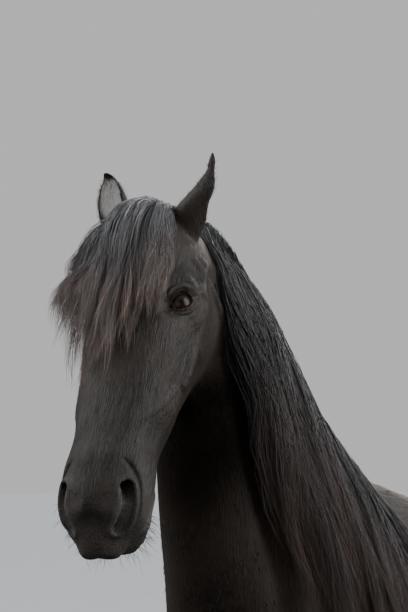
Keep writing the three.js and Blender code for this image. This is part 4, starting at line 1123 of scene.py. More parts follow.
# ---------------------------------------------------------------- materials
class Tree:
    """A tree of shader nodes being built. Inputs are given as numbers, colours or other nodes' outputs."""

    def __init__(self, tree):
        self.nodes = tree.nodes
        self.links = tree.links

    def add(self, kind, **inputs):
        return self.fill(self.nodes.new(f"ShaderNode{kind}"), inputs)

    def fill(self, node, inputs):
        for name, value in inputs.items():
            self.put(node.inputs[name.replace("_", " ")], value)
        return node

    def put(self, socket, value):
        if isinstance(value, bpy.types.NodeSocket):
            self.links.new(value, socket)
        else:
            socket.default_value = value

    def math(self, operation, a, b):
        node = self.nodes.new("ShaderNodeMath")
        node.operation = operation
        self.put(node.inputs[0], a)
        self.put(node.inputs[1], b)
        return node.outputs[0]

    def times(self, a, b):
        return self.math("MULTIPLY", a, b)

    def kept(self, name):
        """The number kept under this name for each point of the mesh."""
        node = self.nodes.new("ShaderNodeAttribute")
        node.attribute_name = name
        return node.outputs["Fac"]

    def place(self):
        return self.add("TexCoord").outputs["Object"]

    def noise(self, scale, place=None, stretch=(1, 1, 1), detail=3.0):
        """A noise in the piece's own space, stretched."""
        place = self.place() if place is None else place
        spread = self.add("Mapping", Vector=place, Scale=stretch)
        return self.add("TexNoise", Vector=spread.outputs[0], Scale=scale, Detail=detail).outputs["Fac"]

    def ramp(self, factor, *stops):
        """Colours at places from 0 to 1."""
        node = self.nodes.new("ShaderNodeValToRGB")
        elements = node.color_ramp.elements
        while len(elements) < len(stops):
            elements.new(0.5)
        for element, (place, color) in zip(elements, stops):
            element.position = place
            element.color = (*color, 1)
        self.put(node.inputs[0], factor)
        return node.outputs[0]

    def shades(self, factor, *stops):
        """Greys at places from 0 to 1."""
        return self.ramp(factor, *((place, (grey,) * 3) for place, grey in stops))

    def mix(self, factor, a, b, blend="MIX"):
        node = self.nodes.new("ShaderNodeMix")
        node.data_type = "RGBA"
        node.blend_type = blend
        for socket, value in ((node.inputs[0], factor), (node.inputs[6], a), (node.inputs[7], b)):
            self.put(socket, (*value, 1) if isinstance(value, tuple) else value)
        return node.outputs[2]

    def bump(self, height, distance, strength, **after):
        return self.add("Bump", Height=height, Strength=strength, Distance=distance, **after).outputs[0]


class Finish(Tree):
    """A material being built, on one Principled shader."""

    def __init__(self, name):
        self.material = bpy.data.materials.new(name)
        self.material.use_nodes = True
        super().__init__(self.material.node_tree)

    def set(self, **inputs):
        self.fill(self.nodes["Principled BSDF"], inputs)

    def combed(self, lengthwise, across):
        """A noise drawn out along the lie of the coat, which lies() knows."""
        down_face = tuple(Matrix(HEAD_AXES.T.tolist()).to_euler())
        parts = []
        for share, turn, stretch in (
            ("lies_back", (0, 0, 0), (lengthwise, across, across)),
            ("lies_down", (0, 0, 0), (across, across, lengthwise)),
            ("lies_on_face", down_face, (lengthwise, across, across)),
        ):
            turned = self.add("Mapping", Vector=self.place(), Rotation=turn)
            drawn = self.noise(1.0, turned.outputs[0], stretch, 4.0)
            parts.append(self.times(drawn, self.kept(share)))
        return self.math("ADD", self.math("ADD", parts[0], parts[1]), parts[2])


def plain_material(name, color, roughness):
    finish = Finish(name)
    mottled = finish.ramp(finish.noise(3.0), (0.3, tuple(c * 0.97 for c in color)), (0.7, color))
    finish.set(Base_Color=mottled, Roughness=roughness, Specular_IOR_Level=0.2)
    return finish.material


def coat_material():
    """Short black hair, lying along the body, over skin that shows grey and bare on the muzzle."""
    finish = Finish("coat")
    bare = finish.kept("bare")
    # painted shade: the coat's shine and sheen are dimmed where painted shade is marked
    outside_painted_shade = finish.math("SUBTRACT", 1.0, finish.kept("painted_shade"))
    hairs = finish.combed(62.0, 560.0)
    tufts = finish.combed(20.0, 105.0)
    patches = finish.noise(7.0, detail=4.0)
    black = finish.ramp(patches, (0.34, (0.0066, 0.0050, 0.0042)), (0.68, (0.0220, 0.0155, 0.0115)))
    streaked = finish.mix(finish.shades(hairs, (0.45, 0.0), (0.75, 0.7)), black, (0.040, 0.028, 0.020))
    # painted shade: the coat's colour is darkened where the head and mane shade the neck, and between the
    # nostrils
    with_painted_shade = finish.mix(1.0, streaked, finish.shades(outside_painted_shade, (0.0, 0.2), (1.0, 1.0)), "MULTIPLY")
    # pale down lines the ears; the same lightening elsewhere is painted light on the nostrils, the muzzle's
    # sides and the ears
    thick = finish.times(finish.kept("pale"), finish.shades(hairs, (0.3, 0.6), (0.7, 1.0)))
    down_and_painted_light = finish.mix(thick, with_painted_shade, (0.72, 0.70, 0.69))
    pores = finish.noise(460.0, detail=5.0)
    grey = finish.ramp(pores, (0.35, (0.040, 0.035, 0.032)), (0.70, (0.105, 0.092, 0.085)))
    furry = finish.math("SUBTRACT", 1.0, finish.times(bare, 0.75))
    height = finish.times(finish.math("ADD", hairs, finish.times(tufts, 1.4)), furry)
    creased = finish.times(finish.noise(190.0, detail=6.0), bare)
    fur = finish.bump(height, 0.0022, 0.8)
    finish.set(
        Base_Color=finish.mix(bare, down_and_painted_light, grey),
        Normal=finish.bump(creased, 0.0010, 0.5, Normal=fur),
        Roughness=finish.shades(tufts, (0.25, 0.38), (0.75, 0.56)),
        Specular_IOR_Level=finish.times(outside_painted_shade, 0.14),
        Sheen_Weight=finish.times(outside_painted_shade, 0.035),
        Sheen_Roughness=0.4,
        Sheen_Tint=(1.0, 0.88, 0.80, 1),
    )
    return finish.material


# the colour at a strand's root, middle and tip, how much it shines, and how much brighter a few strands are
HAIRS = {
    "long_hair": ((0.006, 0.0055, 0.0055), (0.011, 0.008, 0.007), (0.052, 0.027, 0.018), 0.32, 2.6),
    # the forelock's pale roots are a painted highlight on its top, and its brightest strands painted glints
    "forelock": ((0.160, 0.157, 0.163), (0.011, 0.009, 0.0085), (0.100, 0.054, 0.036), 0.6, 4.5),
    "stiff_hair": ((0.004, 0.004, 0.004), (0.006, 0.005, 0.005), (0.016, 0.012, 0.010), 0.3, 1.5),
}


def hair_material(name):
    """Hair whose tips the sun has bleached, each strand a little its own tone."""
    root, middle, tip, shine, glint = HAIRS[name]
    finish = Finish(name)
    tone = finish.kept("tone")
    color = finish.ramp(finish.kept("share"), (0.0, root), (0.55, middle), (1.0, tip))
    varied = finish.shades(tone, (0.0, 0.3), (0.7, 1.0), (0.9, 1.6), (1.0, glint))
    finish.set(
        Base_Color=finish.mix(1.0, color, varied, "MULTIPLY"),
        Roughness=finish.shades(tone, (0.0, 0.36), (1.0, 0.50)),
        Specular_IOR_Level=shine,
        Sheen_Weight=0.2 * shine,
        Sheen_Roughness=0.4,
        Sheen_Tint=(0.7, 0.78, 0.9, 1),
    )
    return finish.material


def eye_material():
    """A dark brown iris behind a wet cornea: kept 'iris' runs from the pupil's middle outwards."""
    finish = Finish("eyeball")
    color = finish.ramp(
        finish.kept("iris"),
        (0.0, (0.002, 0.002, 0.003)),
        (0.30, (0.003, 0.003, 0.004)),
        (0.42, (0.016, 0.008, 0.004)),
        (0.72, (0.022, 0.011, 0.006)),
        (0.86, (0.004, 0.003, 0.003)),
        (1.0, (0.030, 0.020, 0.016)),
    )
    streaks = finish.shades(finish.noise(260.0), (0.3, 0.4), (0.7, 1.8))
    finish.set(Base_Color=finish.mix(0.5, color, finish.mix(1.0, color, streaks, "MULTIPLY")))
    finish.set(Roughness=0.3, Specular_IOR_Level=0.06, Coat_Weight=0.15, Coat_Roughness=0.05)
    return finish.material


def horn_material():
    """Black horn with fine growth rings and upright fibres, dusty towards the ground."""
    finish = Finish("horn")
    place = finish.place()
    rings = finish.noise(1.0, place, (6, 6, 330), 3.0)
    fibres = finish.noise(1.0, place, (260, 260, 12), 4.0)
    blotches = finish.noise(24.0)
    dark = finish.ramp(rings, (0.30, (0.017, 0.015, 0.013)), (0.70, (0.030, 0.026, 0.023)))
    dusty = finish.ramp(blotches, (0.45, (0.020, 0.018, 0.016)), (0.75, (0.080, 0.069, 0.055)))
    height = finish.add("SeparateXYZ", Vector=place).outputs["Z"]
    low = finish.shades(height, (0.0, 0.65), (0.06, 0.06))
    both = finish.math("ADD", rings, finish.times(fibres, 0.6))
    finish.set(
        Base_Color=finish.mix(low, dark, dusty),
        Normal=finish.bump(both, 0.0008, 0.6),
        Roughness=finish.shades(blotches, (0.3, 0.42), (0.8, 0.7)),
        Specular_IOR_Level=0.45,
    )
    return finish.material


# ---------------------------------------------------------------- the skin's own marks
def on_head(points):
    """1 on the head, falling softly to 0 where the neck begins."""
    face = to_head(points)
    ahead = step_between(unbent(points)[:, 0], 470, 560)
    return step_between(face[:, 0], -60, 60) * step_between(face[:, 2], -380, -270) * ahead


def lies(points):
    """How much of the coat lies back along the trunk, down the neck and legs, and down the face."""
    flat = unbent(points)
    on_face = on_head(points)
    neck = step_between(flat[:, 0] + 0.35 * (flat[:, 2] - 1400), 120, 330)
    leg = step_between(-flat[:, 2], -1150, -900)
    down = np.maximum(neck, leg) * (1 - on_face)
    return {"lies_back": 1 - down - on_face, "lies_down": down, "lies_on_face": on_face}


def bareness(points):
    """How bare and grey the skin is: the muzzle, and a little round the eyes."""
    face = mirrored(to_head(points))
    muzzle = step_between(face[:, 0] - 0.25 * face[:, 2], 560, 660) * 0.55
    nostril = near(face, NOSTRIL_AT, (60, 50, 60)) * 0.35
    lips = near(face, (556, 46, -112), (66, 50, 34)) * 0.75
    lids = near(face, EYE_AT + LID_OUT * 22, (26, 26, 22)) * 0.12
    return np.clip(np.maximum.reduce([muzzle, nostril, lips, lids]) * on_head(points), 0, 1)


def pale_down_and_painted_light(points):
    """How pale the coat is: thick down inside the ears' dark rims, and faint painted light on the nostrils'
    inner rims, the muzzle's sides and the ears.
    """
    pale = np.zeros(len(points))
    left = to_head(points)[:, 1] > 0
    for side, ear in EARS.items():
        share, from_edge, sunk, wall = cup_of(points, side)
        close = (left == (side > 0)) & (share > -0.1) & (share < 1.1) & (sunk > 0)
        lining = step_between(sunk, 0.4 * wall, 0.7 * wall) * step_between(from_edge, 3, 12)
        upright = step_between(share, 0.2, 0.4) * step_between(ear["lined"] - share, 0, 0.1)
        pale += np.where(close, lining * upright, 0)
    face = mirrored(to_head(points))
    local, wing = nostril_place(face)
    close = np.flatnonzero((np.abs(local[:, 2]) < 45) & (np.hypot(local[:, 0], local[:, 1]) < 60))
    gap = signed_gap(local[close, :2], round_line(NOSTRIL["hole"], 90))[0]
    # painted highlights: on the nostril's inner rim, and on the floor inside it
    pale[close] += 0.10 * (1 - wing[close]) * bell(gap / 4.5) * step_between(local[close, 0], -34, -20)
    pale[close] += 0.05 * step_between(-gap, 0, 4) * step_between(local[close, 0], -12, 20)
    # painted light on the muzzle's sides, and over the middle of each ear
    pale += 0.05 * near(face, (545, 76, -88), (38, 22, 32))
    pale += 0.02 * near(face, (-35, 88, -18), (66, 36, 46))
    return np.clip(pale, 0, 1)


def painted_shade_of(points):
    """Painted shade on the coat: behind the cheeks, under the throat and between the nostrils."""
    face = to_head(points)
    behind = step_between(-face[:, 2], 205, 250) * (1 - step_between(-face[:, 2], 300, 430))
    behind *= step_between(face[:, 0], -90, 0) * (1 - step_between(face[:, 0], 380, 560))
    return 0.85 * behind + 0.45 * near(face, (572, 0, -30), (44, 30, 34))


def marks(points):
    """What the coat's material needs to know of each place: the hair's lie, bare skin, pale down with painted
    light, and painted shade.
    """
    kept = lies(points)
    kept["bare"] = bareness(points)
    kept["pale"] = pale_down_and_painted_light(points)
    kept["painted_shade"] = painted_shade_of(points)
    return kept


def dress(piece, material, slot, *nodes):
    """Gives a piece its material, hangs it from the root, and hides the solids that it stands for. slot is
    not used.
    """
    piece.data.materials.append(material)
    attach(piece, "root")
    if nodes:
        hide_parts(*nodes)


FLESH = ["neck", "head", "chest", "barrel", "croup"] + [
    f"{name}_{side}" for side in SIDES for name in ("ear", "forearm", "fore_shank", "thigh", "hind_shank")
]


def add_skin(material):
    points, triangles = make_skin()
    skin = new_mesh("skin", to_row(points), triangles)
    for name, values in marks(points).items():
        store(skin, name, values)
    dress(skin, material, "coat", *FLESH)
    return points, triangles


# ---------------------------------------------------------------- eyes
def add_eyes():
    """Two wet balls with a slightly raised cornea, each looking out through its lids."""
    material = eye_material()
    rings, around = 64, 96
    tilt = np.linspace(0.002, np.pi - 0.002, rings)[:, None]
    turn = turns(around)
    x, y = np.sin(tilt) * np.cos(turn), np.sin(tilt) * np.sin(turn)
    direction = np.stack([x, y, np.broadcast_to(np.cos(tilt), x.shape)], axis=-1)
    high, wide = EYE["cornea"]
    pupil, oval = EYE["pupil"]
    radius = EYE["radius"] - high + high * bell(tilt / wide)
    ball = direction * radius[..., None] @ LID_AXES.T + EYE_AT
    iris = np.clip(np.broadcast_to(tilt / EYE["iris"], x.shape), 0, 1)
    in_pupil = np.minimum(np.hypot(x, oval * y) / EYE["iris"], pupil)
    iris = np.where(iris < pupil, in_pupil, iris)
    for word, side in SIDES.items():
        points, triangles = closed(from_head(ball * np.array([1, side, 1])))
        eye = new_mesh(f"eyeball_{word}", to_row(points), triangles)
        store(eye, "iris", np.concatenate([iris.ravel(), [0, 1]]))
        dress(eye, material, "eye", f"eye_{word}")


# ---------------------------------------------------------------- hooves
FORE_HOOF = [
    [286, HOOF_TOP, 166, 84, 60, 68, 58, 0.95, 122],
    [308, 55, 168, 48, 66, 76, 64, 0.92, 122],
    [336, 0, 170, 0, 74, 86, 72, 0.9, 122],
]
HIND_HOOF = [
    [-946, HOOF_TOP, -1066, 84, 59, 66, 56, 0.95, 130],
    [-927, 55, -1066, 48, 64, 74, 62, 0.92, 130],
    [-904, 0, -1064, 0, 70, 82, 68, 0.9, 130],
]
HOOVES = {"fore": FORE_HOOF, "hind": HIND_HOOF}


def hoof_grid(end, side, around=160, rings=70):
    """A horn wall with growth rings, a rounded coronet and a worn edge at the ground."""
    grid = loft(on_leg(HOOVES[end], end, side), around, rings, grow=0)
    middle = grid.mean(axis=1, keepdims=True)
    down = np.linspace(0, 1, rings)[:, None]
    turn = turns(around)
    ripple = 0.010 * np.sin(down * 46 + 0.6 * np.sin(2 * turn)) * np.sin(down * np.pi) ** 0.5
    round_top = 0.035 * bell((down - 0.06) / 0.05) - 0.07 * np.clip(1 - down / 0.045, 0, 1) ** 2
    worn = -0.02 * np.clip((down - 0.965) / 0.035, 0, 1) ** 2
    scale = 0.985 + ripple + round_top + worn
    return middle + (grid - middle) * np.stack([scale, scale, np.ones_like(scale)], axis=-1)


def add_hooves():
    material = horn_material()
    for end, side in STRIDES:
        points, triangles = closed(hoof_grid(end, side))
        hoof = new_mesh(f"{end}_horn_{WORDS[side]}", to_row(points), triangles)
        dress(hoof, material, "hoof", f"{end}_hoof_{WORDS[side]}")


# ---------------------------------------------------------------- strands
SEEDS = {"mane": 11, "forelock": 23, "tail": 37, "feather": 71, "lashes": 53, "whiskers": 61, "tufts": 83}


def strands(paths, faces, widths, flatness, place=np.asarray):
    """Thin tapered bars, three-sided and flat: points, triangles, each point's share, and a strand's points.

    paths have a row for each strand and a column for each station. faces are the ways that the flat sides
    look, and widths the half widths. place turns the finished points into the horse's own frame.
    """
    count, stations = paths.shape[:2]
    way = unit(np.gradient(paths, axis=1))
    across = unit(np.cross(way, faces))
    out = np.cross(across, way)
    wide = np.broadcast_to(widths[..., :-1], (count, stations - 1))[..., None]
    body, across, out = paths[:, :-1], across[:, :-1], out[:, :-1]
    corners = [
        body + across * wide - out * wide * flatness * 0.5,
        body + out * wide * flatness,
        body - across * wide - out * wide * flatness * 0.5,
    ]
    rings = np.stack(corners, axis=2).reshape(count, -1, 3)
    points = np.concatenate([rings, paths[:, -1:]], axis=1)
    size = points.shape[1]
    faces_of_one = [[0, 1, 2]]
    for k in range(stations - 2):
        for j in range(3):
            a, b = 3 * k + j, 3 * k + (j + 1) % 3
            faces_of_one += [[a, a + 3, b + 3], [a, b + 3, b]]
    last = 3 * (stations - 2)
    faces_of_one += [[last + j, size - 1, last + (j + 1) % 3] for j in range(3)]
    triangles = (np.array(faces_of_one)[None] + size * np.arange(count)[:, None, None]).reshape(-1, 3)
    share = np.concatenate([np.repeat(np.arange(stations - 1), 3), [stations - 1]]) / (stations - 1)
    return place(points.reshape(-1, 3)), triangles, np.tile(share, count), size


def middle_line(rows, share):
    """The middle line of a body part's rows, and its half widths."""
    x, z, back_x, back_z, _, half, _, _, shift = along(rows, share).T
    return np.stack([(x + back_x) / 2, shift, (z + back_z) / 2], axis=1), half


AT_A_TIME = 2000  # points placed on the map together
BAND_WIDE = 0.96  # how much of its band of the map a part of the body takes up


class Unwrap:
    """A flat map of the skin's own shape: along each part of the body, and around it."""

    def __init__(self):
        share = np.linspace(0, 1, 40)
        lines = []
        for rows, place in ((TRUNK, bent), (HEAD, from_head)):
            middle, half = middle_line(rows, share)
            lines.append((place(middle), half))
        for end, side in STRIDES:
            middle, half = middle_line(LEGS[end], share)
            middle *= (1, side, 1)
            middle[:, 0] += stride_at(end, side, middle[:, 2])
            lines.append((middle, half))
        self.middles = np.concatenate([middle for middle, _ in lines])
        self.halves = np.concatenate([half for _, half in lines])
        self.band = np.repeat(np.arange(len(lines)), len(share))
        self.share = np.tile(share, len(lines))
        ways = np.concatenate([unit(np.gradient(middle, axis=0)) for middle, _ in lines])
        self.ahead = unit(np.cross(ways, SIDEWAYS))
        self.count = len(lines)

    def places(self, points):
        """Places on the map, from 0 to 1 each way."""
        spots = []
        for some in np.array_split(points, max(len(points) // AT_A_TIME, 1)):
            off = some[:, None] - self.middles
            best = (np.linalg.norm(off, axis=2) / self.halves).argmin(axis=1)
            off = off[np.arange(len(some)), best]
            angle = np.arctan2(off[:, 1], (off * self.ahead[best]).sum(axis=1)) / (2 * np.pi) + 0.5
            aside = (self.band[best] + angle * BAND_WIDE) / self.count
            spots.append(np.stack([self.share[best], aside], axis=1))
        return np.concatenate(spots)


UNWRAP = Unwrap()
PATCH = 0.003  # how large a strand's own patch of the map is
MARGIN = 0.004  # what stays free along the map's edges


def add_hair(name, made, roots, tones, material, slot="hair"):
    """A piece of hair. roots are where its strands leave the skin, in the horse's own frame."""
    points, triangles, share, size = made
    piece = new_mesh(name, to_row(points), triangles)
    store(piece, "share", share)
    store(piece, "tone", np.repeat(tones, size))
    corner = np.tile(np.concatenate([np.tile([0.0, 0.5, 1.0], (size - 1) // 3), [0.5]]), len(tones))
    places = np.repeat(MARGIN + UNWRAP.places(roots) * (1 - 2 * MARGIN - PATCH), size, axis=0)
    places += PATCH * np.stack([corner, share], axis=1)
    layer = piece.data.uv_layers.new(name="OFBake")
    order = np.empty(len(piece.data.loops), np.int32)
    piece.data.loops.foreach_get("vertex_index", order)
    layer.data.foreach_set("uv", places[order].astype(np.float32).ravel())
    dress(piece, material, slot)
    return piece


class Height:
    """How far something reaches one way, over a grid of two other directions."""

    def __init__(self, meshes, low, high, step, toward, start):
        trees = [tree_of(*mesh) for mesh in meshes]
        self.low, self.step = np.array(low, float), step
        self.size = np.ceil((np.array(high) - low) / step).astype(int) + 1
        ray = Vector((0, 0, 0))
        ray[toward] = -1.0
        values = np.full(self.size, np.nan)
        axes = [axis for axis in range(3) if axis != toward]
        origin = Vector((0, 0, 0))
        origin[toward] = start
        for i in range(self.size[0]):
            for j in range(self.size[1]):
                origin[axes[0]] = low[0] + i * step
                origin[axes[1]] = low[1] + j * step
                hits = [tree.ray_cast(origin, ray)[0] for tree in trees]
                reached = [hit[toward] for hit in hits if hit is not None]
                if reached:
                    values[i, j] = max(reached)
        self.values = values

    def at(self, a, b, missing):
        """The reach at places a, b, or missing where nothing is met."""
        i = np.clip((a - self.low[0]) / self.step, 0, self.size[0] - 1.001)
        j = np.clip((b - self.low[1]) / self.step, 0, self.size[1] - 1.001)
        i0, j0 = np.floor(i).astype(int), np.floor(j).astype(int)
        f, g = i - i0, j - j0
        values = np.where(np.isnan(self.values), missing, self.values)
        return (
            values[i0, j0] * (1 - f) * (1 - g)
            + values[i0 + 1, j0] * f * (1 - g)
            + values[i0, j0 + 1] * (1 - f) * g
            + values[i0 + 1, j0 + 1] * f * g
        )


def through(stops, stations):
    """Smooth paths through stops, each an array of one point for every strand."""
    rows = np.stack(stops)
    at = np.linspace(0, 1, stations)
    return np.moveaxis(along(rows, at), 0, 1)


TIP = 0.12  # how wide a strand's tip is, for a full width of 1
FULL_AT = 0.12  # the share of its length at which it has its full width
THINS_FROM = 0.4  # and from which it thins


def tapered(stations, wide):
    """Half widths from root to tip: a strand is soon at its full width and thins slowly."""
    share = np.linspace(0, 1, stations)
    rise = 0.6 + 0.4 * np.minimum(share / FULL_AT, 1)
    fall = 1 - (1 - TIP) * np.maximum((share - THINS_FROM) / (1 - THINS_FROM), 0) ** 1.4
    return wide * rise * fall


def uneven(random, stations, wide, count):
    """Half widths along many strands, some finer than others."""
    return tapered(stations, wide) * (0.7 + 0.6 * random.random((count, 1)))


def scattered(random, faces, far):
    """The ways that strands' flat sides look, each turned a little at random."""
    return unit(faces + far * (random.random((len(faces), 1, 3)) - 0.5))


def add_locks(name, random, kind, stops, faces, tones, material, place=np.asarray):
    """A piece of long hair whose strands run through stops, each a little different.

    kind has their half width ("wide"), how deep they are for a width of 1 ("flat"), and how far their flat
    sides are turned at random ("scatter"). tones are angles.
    """
    paths = through(stops, kind["stations"])
    faces = scattered(random, faces, kind["scatter"])
    widths = uneven(random, kind["stations"], kind["wide"], kind["strands"])
    made = strands(paths, faces, widths, kind["flat"], place)
    return add_hair(name, made, place(paths[:, 0]), tones / (2 * np.pi), material)


# ---------------------------------------------------------------- mane
# where the mane grows, from the poll to the withers: x, z and how far the hair falls
CREST = [
    [588, 2056, 640],
    [500, 2030, 660],
    [405, 1974, 640],
    [335, 1910, 600],
    [280, 1838, 560],
    [236, 1778, 520],
    [190, 1724, 470],
    [140, 1678, 420],
    [92, 1642, 380],
]
# layers: how far the locks of each layer, a piece of its own, stand off what they hang against
MANE = {
    "strands": 2600,
    "stations": 13,
    "locks": 52,
    "layers": (3.0, 10.0, 19.0),
    "wide": 0.85,
    "flat": 0.35,
    "scatter": 0.9,
}
CREST_ROUND = 34.0  # the crest's own radius, across


def mane_stops(random, beside, layer):
    """One layer of the mane, unbent, in locks that wave with their neighbours.

    What is returned is where its strands run, how their flat sides look, and their tones.
    """
    count, locks = MANE["strands"], MANE["locks"]
    lock = random.integers(0, locks, count)
    at_lock = (np.arange(locks) + 0.5 + 0.6 * (random.random(locks) - 0.5)) / locks
    phase = 2.4 * np.sin(at_lock * 19 + layer) + 1.1 * random.random((2, locks))
    sway = 11 + 12 * random.random(locks)
    fall_of = 0.74 + 0.34 * random.random(locks)
    lift_of = MANE["layers"][layer] + 9 * random.random(locks)
    spread = (random.random(count) - 0.5) * 4.2 / locks
    t_root = np.clip(at_lock[lock] + spread, 0, 1)
    root_y = 22 - 11 * layer * random.random(count) ** 0.6 - 6 * random.random(count)
    own = random.random((4, count)) * 2 * np.pi
    depth = random.normal(0, 1, count)
    x, z, drop = along(CREST, t_root).T
    ahead = along(CREST, np.minimum(t_root + 0.02, 1.0))
    behind = along(CREST, np.maximum(t_root - 0.02, 0.0))
    up = unit(np.stack([ahead[:, 1] - behind[:, 1], 0 * x, behind[:, 0] - ahead[:, 0]], axis=1))
    up *= np.sign(up[:, 2:])
    lift = np.maximum(lift_of[lock] + 3.2 * depth, 1.5)
    puff = step_between(t_root, -0.03, 0.07) * (1 - step_between(t_root, 0.07, 0.24))
    puff *= 12 + 7 * layer + 3 * depth
    fall = drop * fall_of[lock] * (1.04 - 0.36 * random.random(count) ** 1.6)

    def crest(y, height):
        low = CREST_ROUND - np.sqrt(np.maximum(CREST_ROUND**2 - y * y, 0))
        return np.stack([x, y, z], axis=1) + up * np.reshape(height - low, (-1, 1))

    stops = [crest(root_y - 3, -6), crest(root_y, 1), crest(root_y + 6, 2.5 + 0.15 * lift + puff)]
    y = root_y + 6
    for share in (0.07, 0.14, 0.23, 0.33, 0.44, 0.55, 0.66, 0.77, 0.88, 1.0):
        gather = 1 - 0.62 * step_between(share, 0.05, 0.95)
        t = np.clip(at_lock[lock] + spread * gather, 0, 1)
        lock_x = along(CREST, t)[:, 0]
        back = 8 + 50 * (1 - step_between(t, 0.15, 0.45))
        forward = 100 * (1 - step_between(t, -0.02, 0.16)) * (1 - step_between(share, 0.24, 0.5)) - back
        forward -= 48 * step_between(share, 0.4, 1.0) * (1 - step_between(t, 0.2, 0.6))
        strength = min(share * 2.4, 1)
        beat = share * fall / 68
        wave = sway[lock] * np.sin(beat + phase[0, lock]) * strength
        curl = (1.2 + 6 * share**1.5) * np.sin(share * fall / 26 + own[0]) * strength
        px = lock_x + forward * (1 - math.exp(-4 * share)) + wave + curl
        pz = z - fall * share + 2 * np.sin(share * fall / 30 + own[1]) + puff * math.exp(-5 * share)
        roll = 6 * np.cos(beat + phase[1, lock]) * strength
        roll += (1 + 5 * share) * np.sin(share * fall / 27 + own[2])
        off = np.maximum(lift * (0.4 + 0.6 * min(share * 3, 1)) + roll, 2.0)
        reached = beside.at(px, pz, 0.0) + off
        y = np.maximum(reached, y - 0.02 * fall)
        stops.append(np.stack([px, y, pz], axis=1))
    over = step_between(np.linspace(0, 1, MANE["stations"]), 0.05, 0.28)[None, :, None]
    return stops, unit(up[:, None] * (1 - over) + SIDEWAYS * over), own[3]


def add_mane(material):
    random = np.random.default_rng(SEEDS["mane"])
    meshes = [closed(trunk_grid(90, 150)), closed(leg_grid("fore", 1))]
    beside = Height(meshes, low=(-200, 950), high=(740, 2110), step=9.0, toward=1, start=900.0)
    for layer in range(len(MANE["layers"])):
        stops, faces, tones = mane_stops(random, beside, layer)
        add_locks(f"mane_{layer}", random, MANE, stops, faces, tones, material, bent)


# ---------------------------------------------------------------- forelock
# half: as far as this from the middle the hair lies on the face; beyond it, it hangs free
FORELOCK = {
    "pieces": 2,
    "strands": 2500,
    "stations": 12,
    "locks": 34,
    "half": 88.0,
    "wide": 0.52,
    "flat": 0.4,
    "scatter": 0.8,
}
# from the horse's right to its left: how long the hair is, and how far left its tips hang
FORELOCK_TIPS = [
    [150, -172],
    [190, -146],
    [250, -112],
    [320, -66],
    [330, -24],
    [285, 8],
    [240, 36],
    [205, 58],
]


def add_forelock(material):
    """Hair that springs from between the ears, parts over the brow and sweeps to the horse's right."""
    random = np.random.default_rng(SEEDS["forelock"])
    head = closed(head_grid(90, 130))
    face = Height([head], low=(-20, -84), high=(440, 84), step=6.0, toward=2, start=400.0)
    count, locks = FORELOCK["strands"], FORELOCK["locks"]
    for piece in range(FORELOCK["pieces"]):
        lock = random.integers(0, locks, count)
        at_lock = (np.arange(locks) + 0.5 + 0.5 * (random.random(locks) - 0.5)) / locks
        layer = random.random(locks)
        phase = random.random((2, locks)) * 2 * np.pi
        spread = (random.random(count) - 0.5) * 3.4 / locks
        own = random.random((4, count)) * 2 * np.pi
        share_across = np.clip(at_lock[lock] + spread, 0, 1)
        y0 = -46 + 92 * share_across
        long = along(FORELOCK_TIPS, share_across)[:, 0]
        long = long * (1.12 - 0.68 * random.random(count) ** 1.2) * (0.86 + 0.22 * random.random(locks)[lock])
        lift = 5 + 22 * layer[lock] + 2.5 * random.normal(0, 1, count)
        root = 16 - 26 * layer[lock] + 8 * random.random(count)
        stops = [
            np.stack([root + 12, y0, face.at(np.maximum(root + 12, 4), y0, -60) - 5], axis=1),
            np.stack([root - 3, y0, face.at(np.maximum(root, 4), y0, -60) + 5 + 0.5 * lift], axis=1),
        ]
        for s in (0.08, 0.17, 0.27, 0.38, 0.5, 0.62, 0.74, 0.87, 1.0):
            gather = 1 - 0.66 * step_between(s, 0.1, 0.95)
            across = np.clip(at_lock[lock] + spread * gather, 0, 1)
            y1 = along(FORELOCK_TIPS, across)[:, 1]
            x = root + 8 + long * s
            wave = (3 + 5 * s) * np.sin(long * s / 46 + phase[0, lock])
            wave += (1 + 4 * s) * np.sin(long * s / 27 + own[0])
            swept = math.sin(s * math.pi / 2) ** np.where(y1 < y0, 0.62, 0.9)
            y = y0 + (y1 - y0) * swept + wave * min(3 * s, 1)
            side = np.clip(y, -FORELOCK["half"], FORELOCK["half"])
            level = face.at(np.maximum(x, 4), side, -60) - 0.5 * np.abs(y - side)
            roll = (2 + 4 * s) * np.sin(long * s / 40 + phase[1, lock])
            roll += 2.5 * s * np.sin(long * s / 27 + own[1])
            rise = 1 + 0.5 * math.sin(min(s * 2.2, 1) * math.pi)
            stops.append(np.stack([x, y, level + np.maximum(lift * rise + roll, 2.5)], axis=1))
        faces = np.tile([0.0, 0.0, 1.0], (count, 1, 1))
        add_locks(f"forelock_{piece}", random, FORELOCK, stops, faces, own[3], material, from_head)


# ---------------------------------------------------------------- tail
# x and reach: the middle and the radius of what hangs; front: how flat it is before; tips: its lowest tips
TAIL = {
    "x": -1254.0,
    "tips": 150.0,
    "reach": 90.0,
    "front": 0.62,
    "pieces": 2,
    "strands": 1800,
    "stations": 14,
    "locks": 40,
    "wide": 1.6,
    "flat": 0.35,
    "scatter": 0.9,
}


